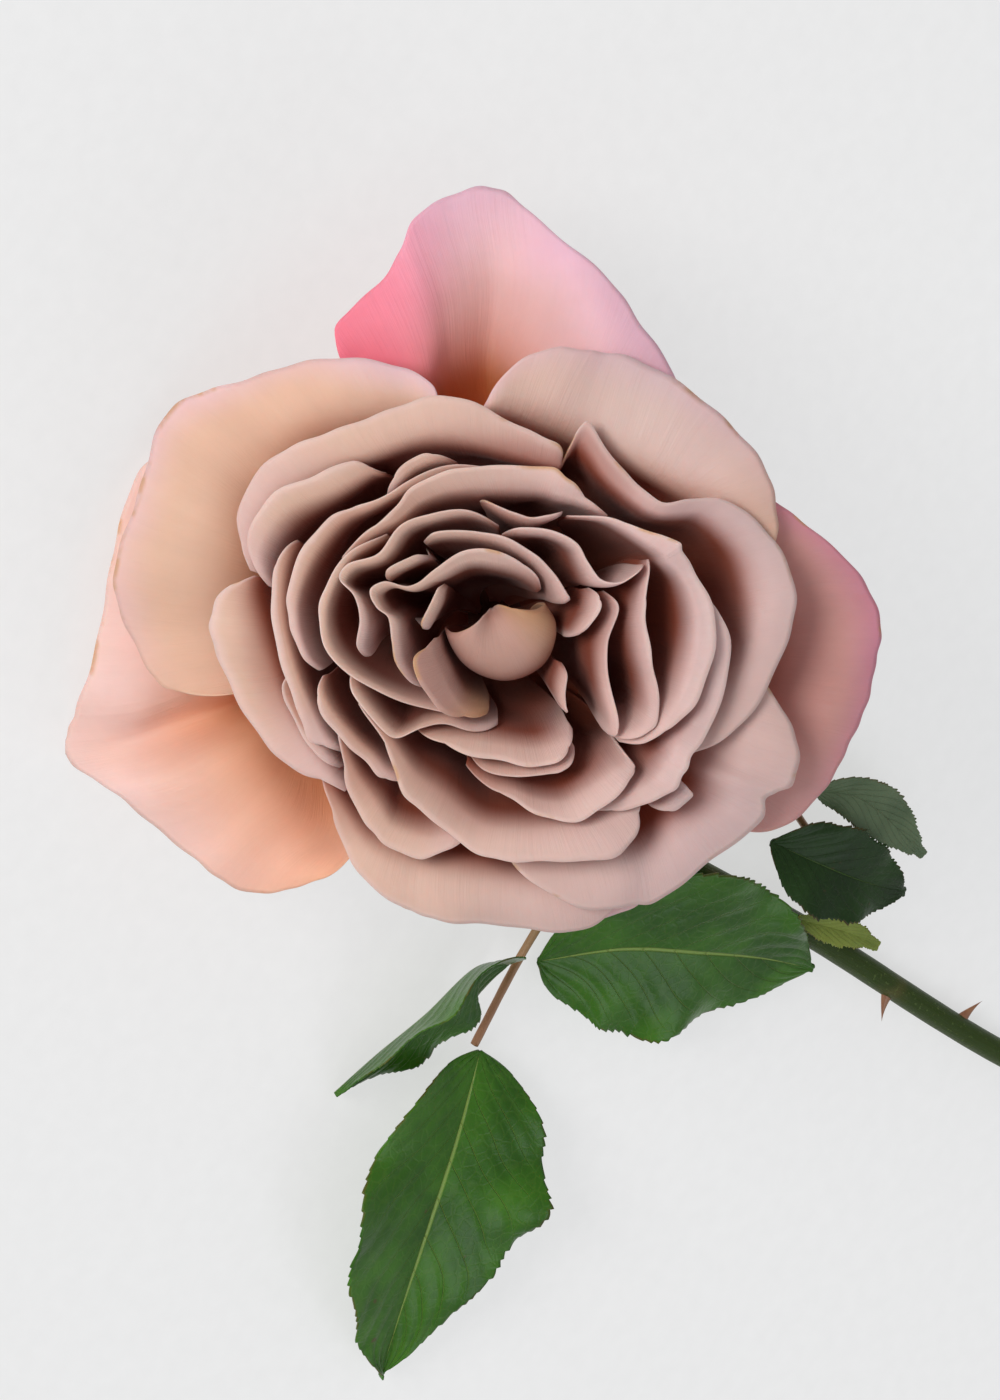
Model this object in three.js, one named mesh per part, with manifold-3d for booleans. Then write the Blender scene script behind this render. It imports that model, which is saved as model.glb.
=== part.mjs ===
// A cut garden rose lying on a table: one many-petalled bloom on a bent neck, its thorny stem,
// five sepals and two compound leaves. Millimetres, +Z up. The stem runs along +X and the bloom,
// resting on its outermost petals, looks up over -X. The origin is on the table, under the
// middle of the whole flower.
//
// Every petal is a thin sheet. Its wall climbs from the seat of the bloom to a crest, and the
// sheet then rolls past the crest to its free rim. All walls belong to one family of nested
// profiles, so a petal with a wider crest always lies outside a narrower one.
import * as THREE from "three";
import Module from "manifold-3d";
import { mergeVertices } from "three/addons/utils/BufferGeometryUtils.js";

const wasm = await Module();
wasm.setup();

// ---- Driving dimensions -------------------------------------------------------------------
const petalThickness = 0.36; // at the rim
const clawThickness = 0.16; // where a petal meets the seat
const crownHeight = 43; // crest of an innermost petal that stands at the crown radius
const crownRadius = 20; // how far from the axis the highest crests stand
const innerFall = 0.02; // the heart sinks inside the crown, per mm squared
const outerFall = 0.026; // the crests fall away outside the crown, per mm squared
const rankFall = 8; // how much lower the outermost layer crests than the innermost
const rollRadius = 12; // how tightly a rim rolls
const rimSlope = 1.6; // steepness of the innermost petals at the crest: rise over run
const standingRadius = 10; // petals that crest inside this climb at that slope
const lyingRadius = 35; // petals that crest outside this end level
const curlRadius = 6; // of a rim that curls in over the heart
const bellyShare = 0.86; // how soon a petal swings out: the handle of its wall, as a share of its spread
const bellyRise = 0.3; // how soon it climbs, as a share of its height
const shoulderShare = 0.5; // the most of a petal's spread that its rounded shoulder takes up
const wallStretch = 1.12; // arc of a petal's wall, as a share of its chord
const clawShare = 0.3; // width of a claw, as a share of its petal
const fullWidthShare = 0.75; // share of its length at which a petal has widened fully
const sideDip = 0.16; // how much shorter a petal is at its two sides
const seatInner = 1.6; // radius of the innermost claw on the seat
const seatOuter = 9; // radius of the outermost claw
const seatRise = 6; // the innermost claw sits this much above the outermost

const bloomElevation = 55; // degrees that the bloom looks up
const bloomYaw = 10; // degrees that it turns towards -Y
const bloomTurn = 23; // degrees that the petals turn about the bloom's own axis

const hipRadius = 6.2;
const hipLength = 13;
const neckRadius = 1.9;
const stemRadius = 2.1;
const neckEnd = 60; // distance along the stem at which the neck starts to thicken
const stemStart = 120; // and at which it has become the stem
const prickleLength = 4.6;
const sepalLength = 22;
const sepalWidth = 9;
const bladeThickness = 0.5; // of a leaflet or a sepal
const rachisRadius = 0.65;
const gap = 0.3; // left between pieces that touch

const radians = THREE.MathUtils.degToRad;

// ---- The family of nested profiles --------------------------------------------------------
const crestHeight = (crest, rank) => {
  const fall = crest > crownRadius ? outerFall : innerFall;
  return crownHeight - rankFall * rank - fall * (crest - crownRadius) ** 2;
};

const seatRadius = (rank) => seatInner + (seatOuter - seatInner) * rank;
const seatHeight = (rank) => seatRise * (1 - rank);

const bezier = (t, a, b, c, d) => {
  const s = 1 - t;
  return s * s * s * a + 3 * s * s * t * b + 3 * s * t * t * c + t * t * t * d;
};

// How steeply a petal still climbs at its crest: the inner ones stand, the outer ones lie over.
const crestSlope = (crest) =>
  rimSlope * (1 - THREE.MathUtils.smoothstep(crest, standingRadius, lyingRadius));

// Radius, height and how far past the crest, at a share of the way up a petal that crests at a
// given radius. Rank is 1 for the outermost petal and 0 for the innermost.
function profilePoint(crest, roll, rank, share) {
  const curls = roll < 0;
  const radius = seatRadius(rank);
  const height = seatHeight(rank);
  const top = crestHeight(crest, rank) - (curls ? curlRadius : 0);
  const slope = crestSlope(crest);
  const wall = wallStretch * Math.hypot(crest - radius, top - height);
  const along = share * (wall + Math.abs(roll));
  const past = Math.max(0, along - wall);
  if (curls && past > 0) {
    const bend = past / curlRadius;
    return [crest, top + curlRadius * Math.sin(bend), curlRadius * (1 - Math.cos(bend))];
  }
  if (past > 0) {
    return [crest, top + slope * past - past ** 2 / (2 * rollRadius), past];
  }
  const spread = Math.max(0, crest - 25);
  const roundness = 4 + 0.4 * Math.max(0, roll) + 0.02 * spread ** 2;
  const shoulder = curls ? 0 : Math.min(shoulderShare * (crest - radius), roundness);
  const drop = curls ? curlRadius : slope * shoulder;
  const belly = curls ? 0 : bellyShare * (crest - radius);
  const t = along / wall;
  return [
    bezier(t, radius, radius + belly, crest - shoulder, crest),
    bezier(t, height, height + bellyRise * (top - height), top - drop, top),
    0,
  ];
}

// ---- Petals -------------------------------------------------------------------------------
// Each point of a petal is [x, y, roll] across the face of the bloom, from one side to the
// other: the free rim, and how far inside it the petal crests. Where the roll is negative, the
// rim curls in over the heart instead, and x and y give the crest. Outermost petals come first.
const petals = {
  guard_petal_top: [
    [-24, 40, 4], [-23, 44, 5], [-15, 50, 8], [-10, 57, 11], [-1, 61, 12], [6, 56.5, 11],
    [16, 46, 9], [25, 37, 7], [28, 31, 4],
  ],
  guard_petal_left: [
    [-46, 31, 4], [-51, 22, 6], [-54, 6, 8], [-58, -12, 11], [-60, -19, 12], [-52, -24, 11],
    [-43, -32, 9], [-33, -37.5, 7], [-25, -35, 5], [-21, -30, 3],
  ],
  guard_petal_right: [
    [35, 27, 3], [42, 18, 5], [49, 9, 7], [53, 1, 8], [54, -5, 9], [52, -12, 9], [47, -20, 7],
    [41, -27.5, 6], [34, -32, 3],
  ],
  guard_petal_bottom: [
    [27, -32, 0.5], [18, -37, 2], [7, -39, 2.5], [-5, -38, 2.5], [-13, -36, 2], [-18, -32, 1],
  ],
  outer_petal_left: [
    [-6, 33, 2], [-10, 37.5, 4], [-17, 39.4, 5], [-27, 38.4, 7], [-38, 34, 9], [-46.5, 29.7, 11],
    [-49.5, 20, 11], [-52, 9, 11], [-51.5, 0, 10], [-47, -7, 7], [-42, -9, 4], [-38, -7, 2],
  ],
  outer_petal_right: [
    [-3, 34, 2], [0, 38, 4], [6, 40.6, 6], [14, 39.8, 6.5], [23, 35.5, 7], [30.5, 30, 7],
    [36, 23.5, 6], [39, 16, 5], [39.8, 10, 3],
  ],
  broad_petal_bottom: [
    [-27.5, -18.5, 0.2], [-24.5, -22.3, 1.2], [-19, -28.8, 3], [-13.2, -34.5, 5.5], [-9, -37, 6.5],
    [0, -39.4, 7], [8, -40, 7], [15, -38.3, 6], [18, -34.5, 3],
  ],
  shell_petal_bottom: [
    [-2, -28.5, 1], [2, -32, 4], [9, -35.2, 6], [17, -35.4, 6.5], [23, -35.2, 7], [29, -31.2, 7],
    [34.5, -26.3, 7], [35.2, -21.6, 6], [38, -19.8, 6.5], [40.5, -14, 6.5], [41, -9, 6],
    [39.5, -2, 4],
  ],
  shell_petal_right: [
    [8.5, 27, 0.5], [10.5, 30.5, 2], [12.8, 32.4, 2.5], [16.3, 26.5, 2], [20.6, 21.8, 1.5],
    [27, 20.2, 2.2], [32.5, 19, 3.2], [37, 13.8, 4], [38.6, 6, 4.5], [38.2, -1, 4.5],
    [35.2, -9.4, 4], [30, -14, 3], [26, -16.6, 1.2],
  ],
  wrap_petal_top: [
    [7.5, 27.5, 0.5], [8.8, 29, 2.5], [3, 31.5, 3.5], [-6, 34, 4.5], [-15, 32.8, 4.5],
    [-23, 29.7, 4], [-30, 24.4, 3.6], [-37, 17.3, 3.6], [-39, 12, 3],
  ],
  wrap_petal_left: [
    [-37.7, 11, 2], [-39.8, 8.5, 4], [-40.6, 3.6, 5.5], [-39.3, -3, 5.4], [-36.3, -10.2, 4.4],
    [-31, -17, 3.4], [-25, -22, 2.2],
  ],
  wrap_petal_corner: [
    [-17.2, 25.4, 0.4], [-20.2, 26.2, 1.8], [-25.6, 22.8, 2], [-31.6, 18.3, 2], [-34.9, 13.8, 1.8],
    [-34.6, 9.5, 1],
  ],
  wrap_petal_sliver: [
    [-31, -3.4, 0], [-31.7, -5.4, 0.3], [-30.6, -9.5, 0.5], [-28, -14.2, 0.6], [-25, -18, 0.5],
  ],
  broad_petal_left: [
    [-29.3, 15.5, 0.3], [-31, 11.5, 1], [-31.4, 5, 1.2], [-30.8, -2, 1.6], [-29.6, -9, 2],
    [-28, -13.8, 2], [-25.2, -16.2, 1.2],
  ],
  scalloped_petal_left: [
    [-26, -13.6, 1.6], [-23, -19, 2], [-18, -23, 2], [-14.5, -25.3, 1.6], [-9.5, -27.4, 2],
    [-6, -27.4, 2], [-2.8, -28.4, 2.4],
  ],
  fold_petal_top: [
    [-6.5, 27.2, 0.3], [-12, 25.9, 0.7], [-17.3, 22.5, 0.3],
  ],
  tan_edged_petal_left: [
    [-1, 27.3, 0.8], [-5.9, 25.8, 0.4], [-12, 23.6, 0.4], [-19.5, 20.6, 0.4], [-23, 18.8, 0.6],
    [-26.5, 13.7, 0.8], [-28.8, 7.5, 1], [-28.8, 4, 1], [-27.6, -0.5, 1], [-26.3, -3.3, 0.8],
  ],
  short_petal_left: [
    [-26.2, -4.2, 1.2], [-25.9, -7.2, 1.2], [-24.6, -10.5, 1.2], [-22.4, -13.6, 1.2],
    [-19.6, -15.8, 1], [-17, -18, 1], [-13.2, -19.6, 0.6],
  ],
  long_petal_bottom: [
    [-21.4, -8.2, 0.8], [-18, -13, 1.5], [-13.9, -18.6, 2.2], [-9, -22.4, 2.6], [-2.8, -27.4, 3.2],
    [2, -28.8, 4], [7.5, -28.5, 4], [13.7, -27.7, 4], [18.3, -26.3, 3.6], [20.4, -24.5, 2.4],
  ],
  small_petal_right: [
    [26.3, -18.9, 0.8], [26, -20.7, 1], [24, -22.9, 1], [21.3, -24.6, 0.8],
  ],
  band_petal_right: [
    [26, 12.2, 0.5], [27.4, 8.2, 1], [28.6, 4.5, 1.2], [29.8, -1.5, 1.6], [29, -8.2, 2],
    [26.8, -11.9, 1.8], [25.4, -15.5, 1.8], [23.3, -19.8, 2.4], [18.9, -22.2, 2.2],
    [13.7, -23.8, 2], [7.8, -23.4, 1],
  ],
  tongue_petal_bottom: [
    [-5.5, -18, 0.2], [-2.5, -19.2, 0.5], [0.4, -20.3, 1], [4.1, -22.6, 2], [8.1, -23.3, 2.5],
    [12.1, -21.4, 2.5], [17, -18.4, 2], [19.2, -16.2, 1], [18.3, -14.6, 0.3],
  ],
  arched_petal_top: [
    [-23.8, 13.8, 1], [-19.8, 17.3, 1.2], [-15.9, 19.4, 1.4], [-12.9, 22, 2], [-7.4, 24.4, 2.6],
    [-2, 26.1, 3.4], [5.2, 26.7, 3.8], [8.5, 24.9, 3], [11.6, 22.9, 2], [14.7, 20, 0.5],
  ],
  pocket_petal_top: [
    [-4.5, 21.5, 0.3], [-2, 19.6, 0.2], [1, 18.3, 0.2], [3, 18, 0.2], [6, 18.8, 0.2],
    [8, 19.8, 0.2],
  ],
  ear_petal_right: [
    [8.7, 19.4, 0.4], [14.7, 20, 1.5], [20, 17.8, 2], [24, 16.2, 3], [24.5, 14.6, 2.6],
    [25.8, 11.2, 1.6], [27.2, 5.5, 1.6], [27.1, 0, 1.6], [26, -5.1, 1.4], [23.9, -8.5, 1],
    [20.8, -12, 0.5], [18.2, -13.6, 0.3],
  ],
  outer_ribbon_petal: [
    [20, 13.4, 0], [18.8, 9, 0.4], [18.4, 5, 0.5], [19.6, 0, 0.5], [21.2, -4, 0.5],
    [21.8, -7.8, 0.5], [20, -10.6, 0.4], [17, -12.6, 0.2],
  ],
  inner_ribbon_petal: [
    [14, 8.4, 0], [14.7, 5.7, 0.3], [13.6, 0.8, 0.3], [14.8, -5, 0.5], [16.4, -10, 0.5],
    [16.2, -12.2, 0.3],
  ],
  hidden_petal_bottom: [
    [-5, -16.2, 0], [-1, -16.6, 0.2], [3, -16.4, 0.2], [7.2, -15.5, 0.2], [10, -14.2, 0.1],
  ],
  crescent_petal: [
    [-13.2, -12.4, 0.8], [-7.2, -13.2, 1.3], [-1, -14, 1.3], [4, -14.8, 1.8], [8, -13.5, 1.5],
    [10.2, -11.9, 0.5],
  ],
  corner_petal_bottom: [
    [-20.9, -2.7, 0], [-19.6, -6, 0.2], [-16.8, -10.5, 0.2], [-15.2, -11.6, 0.2],
    [-11.4, -9.8, 0.2], [-8.2, -9.4, 0.2], [-4.6, -11, 0.2], [-1.5, -11.7, 0.2],
  ],
  thin_petal_left: [
    [-17.5, 17, 0.2], [-21.5, 13.7, 0.3], [-23.3, 10, 0.3], [-24.1, 6.4, 0.4], [-23.1, 2, 0.3],
    [-20.4, -1.7, 0.2], [-15.7, -5, 0.2], [-10.2, -7.2, 0.2], [-5.3, -8.8, 0.2], [-4, -9.2, 0.2],
  ],
  pleated_petal_left: [
    [-2, 18, 0.2], [-5.8, 19.3, 0.4], [-10.4, 18.6, 0.4], [-14.4, 17.4, 0.3], [-17.2, 13.6, 0.2],
    [-21.2, 11.8, 0.2], [-22, 10.2, 0.2], [-19.8, 8.3, 0.2], [-18.7, 5.4, 0.2], [-19.2, 2, 0.2],
    [-19.2, 0.2, 0.1],
  ],
  wave_petal_top: [
    [-1.5, 16.6, 0], [1, 16.9, 0.2], [5.6, 16.6, 0.2], [8.6, 15, 0.2], [10, 12.4, 0.2],
    [11.6, 10.1, 0.2], [14.2, 9.7, 0.2], [17, 11.2, 0.2], [19.2, 12.9, 0.2],
  ],
  scalloped_curl: [
    [12.2, 9.5, 0.6], [11.8, 6.2, 0.8], [10.4, 3.6, 0.8], [9.8, 2.4, 0.3],
  ],
  arched_petal_inner: [
    [-12.4, 15.8, 0.2], [-10.2, 16.4, 0.4], [-4.3, 16, 0.3], [0, 14.8, 0.3], [3.3, 13, 0.3],
    [5.9, 10.6, 0.3], [8, 7.7, 0.2], [8.9, 7.4, 0],
  ],
  sliver_petal_left: [
    [-17, 11, 0], [-15.6, 12.2, 0.2], [-13.3, 13.3, 0.2], [-11.5, 13.8, 0],
  ],
  pleated_petal_inner: [
    [5.2, 9.6, 0.3], [4.2, 11, 0.8], [1.9, 12.6, 1.2], [-2.2, 13.8, 1.4], [-6.6, 13.8, 1.2],
    [-10.2, 11.6, 0.6], [-13.4, 9.8, 0.2], [-16.5, 10.3, 0.2], [-18, 9.3, 0.2], [-17, 7.2, 0.2],
    [-15.5, 6, 0.2], [-14.9, 2.9, 0.2], [-14.5, 0, 0.2], [-13.2, -3.2, 0.2], [-12, -5, 0.2],
  ],
  slim_petal_left: [
    [-9.6, 10.2, 0], [-10.1, 8.3, 0.2], [-11.1, 6.2, 0.2], [-12, 4.2, 0],
  ],
  small_curl: [
    [8.4, -1.6, 0], [7.8, -4.2, 0.2], [7.8, -6.4, 0.3], [8.6, -8.4, 0.2],
  ],
  cheek_petal: [
    [-12.4, 3.2, 1.6], [-12.8, 0.8, 2.6], [-11.6, -2.4, 2.6], [-9.6, -5.6, 2], [-6.6, -8.2, 1],
    [-3, -10, 0.4],
  ],
  hood_petal: [
    [-8, 3.2, -7], [-7, 0.6, -9], [-5.4, -1.8, -11], [-3, -3.5, -13], [0, -4.2, -14.5],
    [3, -3.4, -15], [5.4, -1.6, -15], [6.6, 1.2, -14], [6.6, 3.8, -12], [5.2, 6, -9.5],
  ],
};

const petalNames = Object.keys(petals);

// Where a rim that curls in over the heart heads for.
const gathering = new THREE.Vector2(-3, 8);

// The crest of a petal and its roll, at u from 0 to 1 across it.
function crestLine(points) {
  const crests = points.map(([x, y, roll]) => {
    const inward = 1 - Math.max(0, roll) / Math.hypot(x, y);
    return new THREE.Vector3(x * inward, y * inward, roll);
  });
  const curve = new THREE.CatmullRomCurve3(crests, false, "centripetal");
  return (u) => curve.getPoint(u);
}

function petalSheet(points, rank) {
  const line = crestLine(points);
  return (across, along) => {
    const widening = Math.sin((Math.PI / 2) * Math.min(1, along / fullWidthShare));
    const width = clawShare + (1 - clawShare) * widening;
    const { x, y, z: roll } = line(0.5 + 0.5 * across * width);
    const crest = Math.hypot(x, y);
    const roundedSide = 1 - sideDip * Math.abs(across) ** 6;
    const [radius, height, past] = profilePoint(crest, roll, rank, along * roundedSide);
    const outward = new THREE.Vector2(x, y).normalize();
    const place = outward.clone().multiplyScalar(radius);
    const rollWay = roll < 0 ? gathering.clone().sub(place).normalize() : outward;
    place.addScaledVector(rollWay, past);
    return new THREE.Vector3(place.x, place.y, height);
  };
}

// A closed thin shell about a sheet that is given at across -1 to 1 and along 0 to 1.
function shellGeometry(sheet, columns, rows, thicknessAt) {
  const step = 1e-3;
  const positions = [];
  for (const side of [0.5, -0.5]) {
    for (let j = 0; j <= rows; j++) {
      for (let i = 0; i <= columns; i++) {
        const a = (2 * i) / columns - 1;
        const b = j / rows;
        const over = sheet(Math.min(1, a + step), b).sub(sheet(Math.max(-1, a - step), b));
        const up = sheet(a, Math.min(1, b + step)).sub(sheet(a, Math.max(0, b - step)));
        const normal = over.cross(up).normalize();
        const point = sheet(a, b).addScaledVector(normal, side * thicknessAt(b));
        positions.push(point.x, point.y, point.z);
      }
    }
  }
  const width = columns + 1;
  const back = width * (rows + 1);
  const index = [];
  const quad = (a, b, c, d) => index.push(a, b, c, a, c, d);
  for (let j = 0; j < rows; j++) {
    for (let i = 0; i < columns; i++) {
      const k = j * width + i;
      quad(k, k + 1, k + 1 + width, k + width);
      quad(back + k, back + k + width, back + k + 1 + width, back + k + 1);
    }
  }
  for (let i = 0; i < columns; i++) {
    const top = rows * width + i;
    quad(i + 1, i, back + i, back + i + 1);
    quad(top, top + 1, back + top + 1, back + top);
  }
  for (let j = 0; j < rows; j++) {
    const left = j * width;
    const right = left + columns;
    quad(left, left + width, back + left + width, back + left);
    quad(right + width, right, back + right, back + right + width);
  }
  const geometry = new THREE.BufferGeometry();
  geometry.setAttribute("position", new THREE.Float32BufferAttribute(positions, 3));
  geometry.setIndex(index);
  return geometry;
}

function namedMesh(name, geometry, color, roughness) {
  const mesh = new THREE.Mesh(geometry, new THREE.MeshStandardMaterial({ color, roughness }));
  mesh.name = name;
  return mesh;
}

const bloom = new THREE.Group();
petalNames.forEach((name, i) => {
  const rank = 1 - i / (petalNames.length - 1);
  const points = petals[name];
  const columns = Math.max(5, points.length);
  const thicknessAt = (b) => clawThickness + (petalThickness - clawThickness) * b;
  const geometry = shellGeometry(petalSheet(points, rank), columns, 6, thicknessAt);
  const color = new THREE.Color().setHSL(0.02 + 0.04 * rank, 0.45, 0.78);
  bloom.add(namedMesh(name, geometry, color, 0.6));
});

// The bloom looks up over -X. It rests on its lowest petal.
const lookUp = radians(bloomElevation);
const lookAside = radians(bloomYaw);
const axis = new THREE.Vector3(
  -Math.cos(lookUp) * Math.cos(lookAside),
  -Math.cos(lookUp) * Math.sin(lookAside),
  Math.sin(lookUp),
);
const level = new THREE.Vector3(0, 0, 1).addScaledVector(axis, -axis.z).normalize();
const right = level.applyAxisAngle(axis, radians(bloomTurn));
bloom.setRotationFromMatrix(new THREE.Matrix4().makeBasis(right, axis.clone().cross(right), axis));
bloom.position.z = -new THREE.Box3().setFromObject(bloom, true).min.z;

// ---- Stem ---------------------------------------------------------------------------------
const neckPoints = [[15, 0, 8], [26, -5.5, 5.4], [40, -11.5, 4.6], [58, -16, 4.3]];
const stemPoints = [[110, -16, 4], [162, -17, 3.2], [226, -14, stemRadius]];
// Each prickle is [share of the way along the stem, degrees around it from the top].
const prickles = [[0.35, -75], [0.612, 80], [0.69, -85], [0.76, 30], [0.83, 85], [0.9, -20]];

const fromTable = ([x, y, z]) => new THREE.Vector3(x, y, z);
const onAxis = (z) => axis.clone().multiplyScalar(z).add(bloom.position);

// A closed tube about a curve, whose radius follows the distance along it.
function tubeGeometry(curve, steps, sides, radiusAt) {
  const frames = curve.computeFrenetFrames(steps, false);
  const length = curve.getLength();
  const positions = [];
  const index = [];
  for (let i = 0; i <= steps; i++) {
    const centre = curve.getPointAt(i / steps);
    const radius = radiusAt((i / steps) * length);
    for (let k = 0; k < sides; k++) {
      const turn = (2 * Math.PI * k) / sides;
      const point = centre
        .clone()
        .addScaledVector(frames.normals[i], Math.cos(turn) * radius)
        .addScaledVector(frames.binormals[i], Math.sin(turn) * radius);
      positions.push(point.x, point.y, point.z);
    }
  }
  for (let i = 0; i < steps; i++) {
    for (let k = 0; k < sides; k++) {
      const a = i * sides + k;
      const b = i * sides + ((k + 1) % sides);
      index.push(a, b, b + sides, a, b + sides, a + sides);
    }
  }
  const last = steps * sides;
  for (let k = 1; k < sides - 1; k++) {
    index.push(0, k + 1, k);
    index.push(last, last + k, last + k + 1);
  }
  const geometry = new THREE.BufferGeometry();
  geometry.setAttribute("position", new THREE.Float32BufferAttribute(positions, 3));
  geometry.setIndex(index);
  return geometry;
}

function solidFrom(geometry) {
  const bare = geometry.clone();
  bare.deleteAttribute("normal");
  bare.deleteAttribute("uv");
  const merged = mergeVertices(bare, 1e-4);
  return new wasm.Manifold(
    new wasm.Mesh({
      numProp: 3,
      vertProperties: merged.getAttribute("position").array,
      triVerts: new Uint32Array(merged.index.array),
    }),
  );
}

function geometryFrom(solid) {
  const { vertProperties, triVerts } = solid.getMesh();
  const geometry = new THREE.BufferGeometry();
  geometry.setAttribute("position", new THREE.Float32BufferAttribute(vertProperties, 3));
  geometry.setIndex(new THREE.Uint32BufferAttribute(triVerts, 1));
  return geometry;
}

// The seat's cone carries the claws. Under it the hip swells, and the neck bends down to the table.
const seatDepth = 0.8;
const coneTop = seatRise - seatDepth;
const hipProfile = [
  [0, 0.4],
  [coneTop + 1.2, seatOuter - 1.2],
  [coneTop + 3, seatOuter - 1.4],
  [coneTop + 0.5 * hipLength, hipRadius],
  [coneTop + hipLength, 1.25 * neckRadius],
  [coneTop + 1.6 * hipLength, neckRadius],
];
function stemRadiusAt(distance) {
  for (let i = 1; i < hipProfile.length; i++) {
    const [near, before] = hipProfile[i - 1];
    const [far, after] = hipProfile[i];
    if (distance < far) return before + ((after - before) * (distance - near)) / (far - near);
  }
  return THREE.MathUtils.lerp(neckRadius, stemRadius, THREE.MathUtils.smoothstep(distance, neckEnd, stemStart));
}

const stemLine = new THREE.CatmullRomCurve3([
  onAxis(coneTop),
  onAxis(0),
  onAxis(-0.5 * hipLength),
  onAxis(-hipLength),
  ...neckPoints.map(fromTable),
  ...stemPoints.map(fromTable),
], false, "centripetal");

let stemSolid = solidFrom(tubeGeometry(stemLine, 72, 12, stemRadiusAt));
for (const [share, degrees] of prickles) {
  const along = stemLine.getTangentAt(share);
  const outward = new THREE.Vector3(0, 0, 1).addScaledVector(along, -along.z).normalize();
  outward.applyAxisAngle(along, radians(degrees));
  const lean = outward.clone().addScaledVector(along, 0.35).normalize();
  const side = outward.clone().cross(along).normalize();
  const cone = new THREE.ConeGeometry(0.3 * prickleLength, prickleLength, 8);
  cone.scale(1, 1, 0.45);
  cone.applyMatrix4(new THREE.Matrix4().makeBasis(lean.clone().cross(side), lean, side));
  const at = stemLine.getPointAt(share).addScaledVector(lean, stemRadius - 0.6 + prickleLength / 2);
  cone.translate(at.x, at.y, at.z);
  stemSolid = stemSolid.add(solidFrom(cone));
}
const stem = namedMesh("stem", geometryFrom(stemSolid), 0x5f7a2e, 0.5);

// ---- Sepals -------------------------------------------------------------------------------
// Five narrow blades spread from under the seat, close below the outermost petals.
const sepals = new THREE.Group();
sepals.position.copy(bloom.position);
sepals.quaternion.copy(bloom.quaternion);
for (let i = 0; i < 5; i++) {
  const turn = radians(49 + 72 * i);
  const sheet = (across, along) => {
    const reach = seatOuter - 1.2 + gap + along * sepalLength;
    const half = (sepalWidth / 2) * (1 - along) ** 0.7 + 0.4;
    const drop = -2.6 - 6 * along ** 2 - 0.06 * (across * half) ** 2;
    const side = across * half;
    return new THREE.Vector3(
      reach * Math.cos(turn) - side * Math.sin(turn),
      reach * Math.sin(turn) + side * Math.cos(turn),
      drop,
    );
  };
  const geometry = shellGeometry(sheet, 4, 7, () => bladeThickness);
  sepals.add(namedMesh(`sepal_${i + 1}`, geometry, 0x6f8f45, 0.6));
}

// ---- Leaves -------------------------------------------------------------------------------
// A leaflet follows its midrib. Its halves rise to either side by "fold" degrees, and the whole
// blade leans by "tilt" degrees about the midrib. Half is its half width.
const leaflets = {
  leaf_1_terminal: {
    half: 19, fold: 12, tilt: -4,
    midrib: [[60.5, -57, 4.2], [63.5, -70, 6.5], [67.5, -84, 7], [73, -97, 5.4], [79.5, -108.5, 2.5]],
  },
  leaf_1_left: {
    half: 10, fold: 24, tilt: -36,
    midrib: [[55.5, -43, 5], [49, -46, 6.5], [45.5, -56, 6], [43, -65, 4], [42, -73, 1.5]],
  },
  leaf_1_right: {
    half: 16, fold: 6, tilt: 16,
    midrib: [[59.5, -40.5, 6], [71, -32.5, 8.6], [85, -27, 9.6], [99, -23, 8], [112, -20.5, 6]],
  },
  leaf_2_dark: {
    half: 7.8, fold: 16, tilt: 0,
    midrib: [[86, -6.8, 9.4], [95, -6, 10.6], [105, -5, 10], [114, -3.8, 8], [121, -2.6, 6]],
  },
  leaf_2_pale: {
    half: 4.2, fold: 14, tilt: 8,
    midrib: [[90.5, 3.5, 7.5], [97, 6, 8.5], [105, 6, 8], [113, 5, 7], [121, 4, 5.5]],
  },
  leaf_2_terminal: {
    half: 11, fold: 14, tilt: 0,
    midrib: [[87, -0.3, 7], [79, 4, 8], [70, 8, 7], [61, 13, 4], [54, 19, 1]],
  },
  leaf_2_stipule: {
    half: 2.4, fold: 20, tilt: 0,
    midrib: [[102, -15, 7.4], [108, -13.6, 8.2], [114, -12.6, 8.2], [121, -12.2, 7.2]],
  },
};
const rachises = {
  leaf_1_rachis: [[57, -19.6, 5.2], [56.5, -30, 5.6], [57.2, -42, 4.8], [60.3, -56.6, 2.8]],
  leaf_2_rachis: [[121, -12.9, 4.6], [111, -9.5, 6], [100, -4.2, 6.2], [89, -0.5, 6.4]],
};

// Halves of a leaflet widen fast from the base and narrow slowly to a pointed tip.
const bladeWidth = (along) => Math.sin(Math.PI * along ** 0.72) ** 0.85;

function leafletSheet({ half, fold, tilt, midrib }) {
  const line = new THREE.CatmullRomCurve3(midrib.map(fromTable), false, "centripetal");
  const up = new THREE.Vector3(0, 0, 1);
  return (across, along) => {
    const point = line.getPointAt(along);
    const tangent = line.getTangentAt(along);
    const sideways = up.clone().cross(tangent).normalize();
    sideways.applyAxisAngle(tangent, radians(tilt));
    const upright = tangent.clone().cross(sideways);
    const reach = across * Math.max(1, half * bladeWidth(along));
    point.addScaledVector(sideways, reach * Math.cos(radians(fold)));
    return point.addScaledVector(upright, Math.abs(reach) * Math.sin(radians(fold)));
  };
}

const leaves = new THREE.Group();
for (const [name, leaflet] of Object.entries(leaflets)) {
  const geometry = shellGeometry(leafletSheet(leaflet), 6, 10, () => bladeThickness);
  leaves.add(namedMesh(name, geometry, 0x2f5a30, 0.4));
}
for (const [name, points] of Object.entries(rachises)) {
  const line = new THREE.CatmullRomCurve3(points.map(fromTable), false, "centripetal");
  leaves.add(namedMesh(name, tubeGeometry(line, 12, 8, () => rachisRadius), 0x8a6a3a, 0.5));
}


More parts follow.
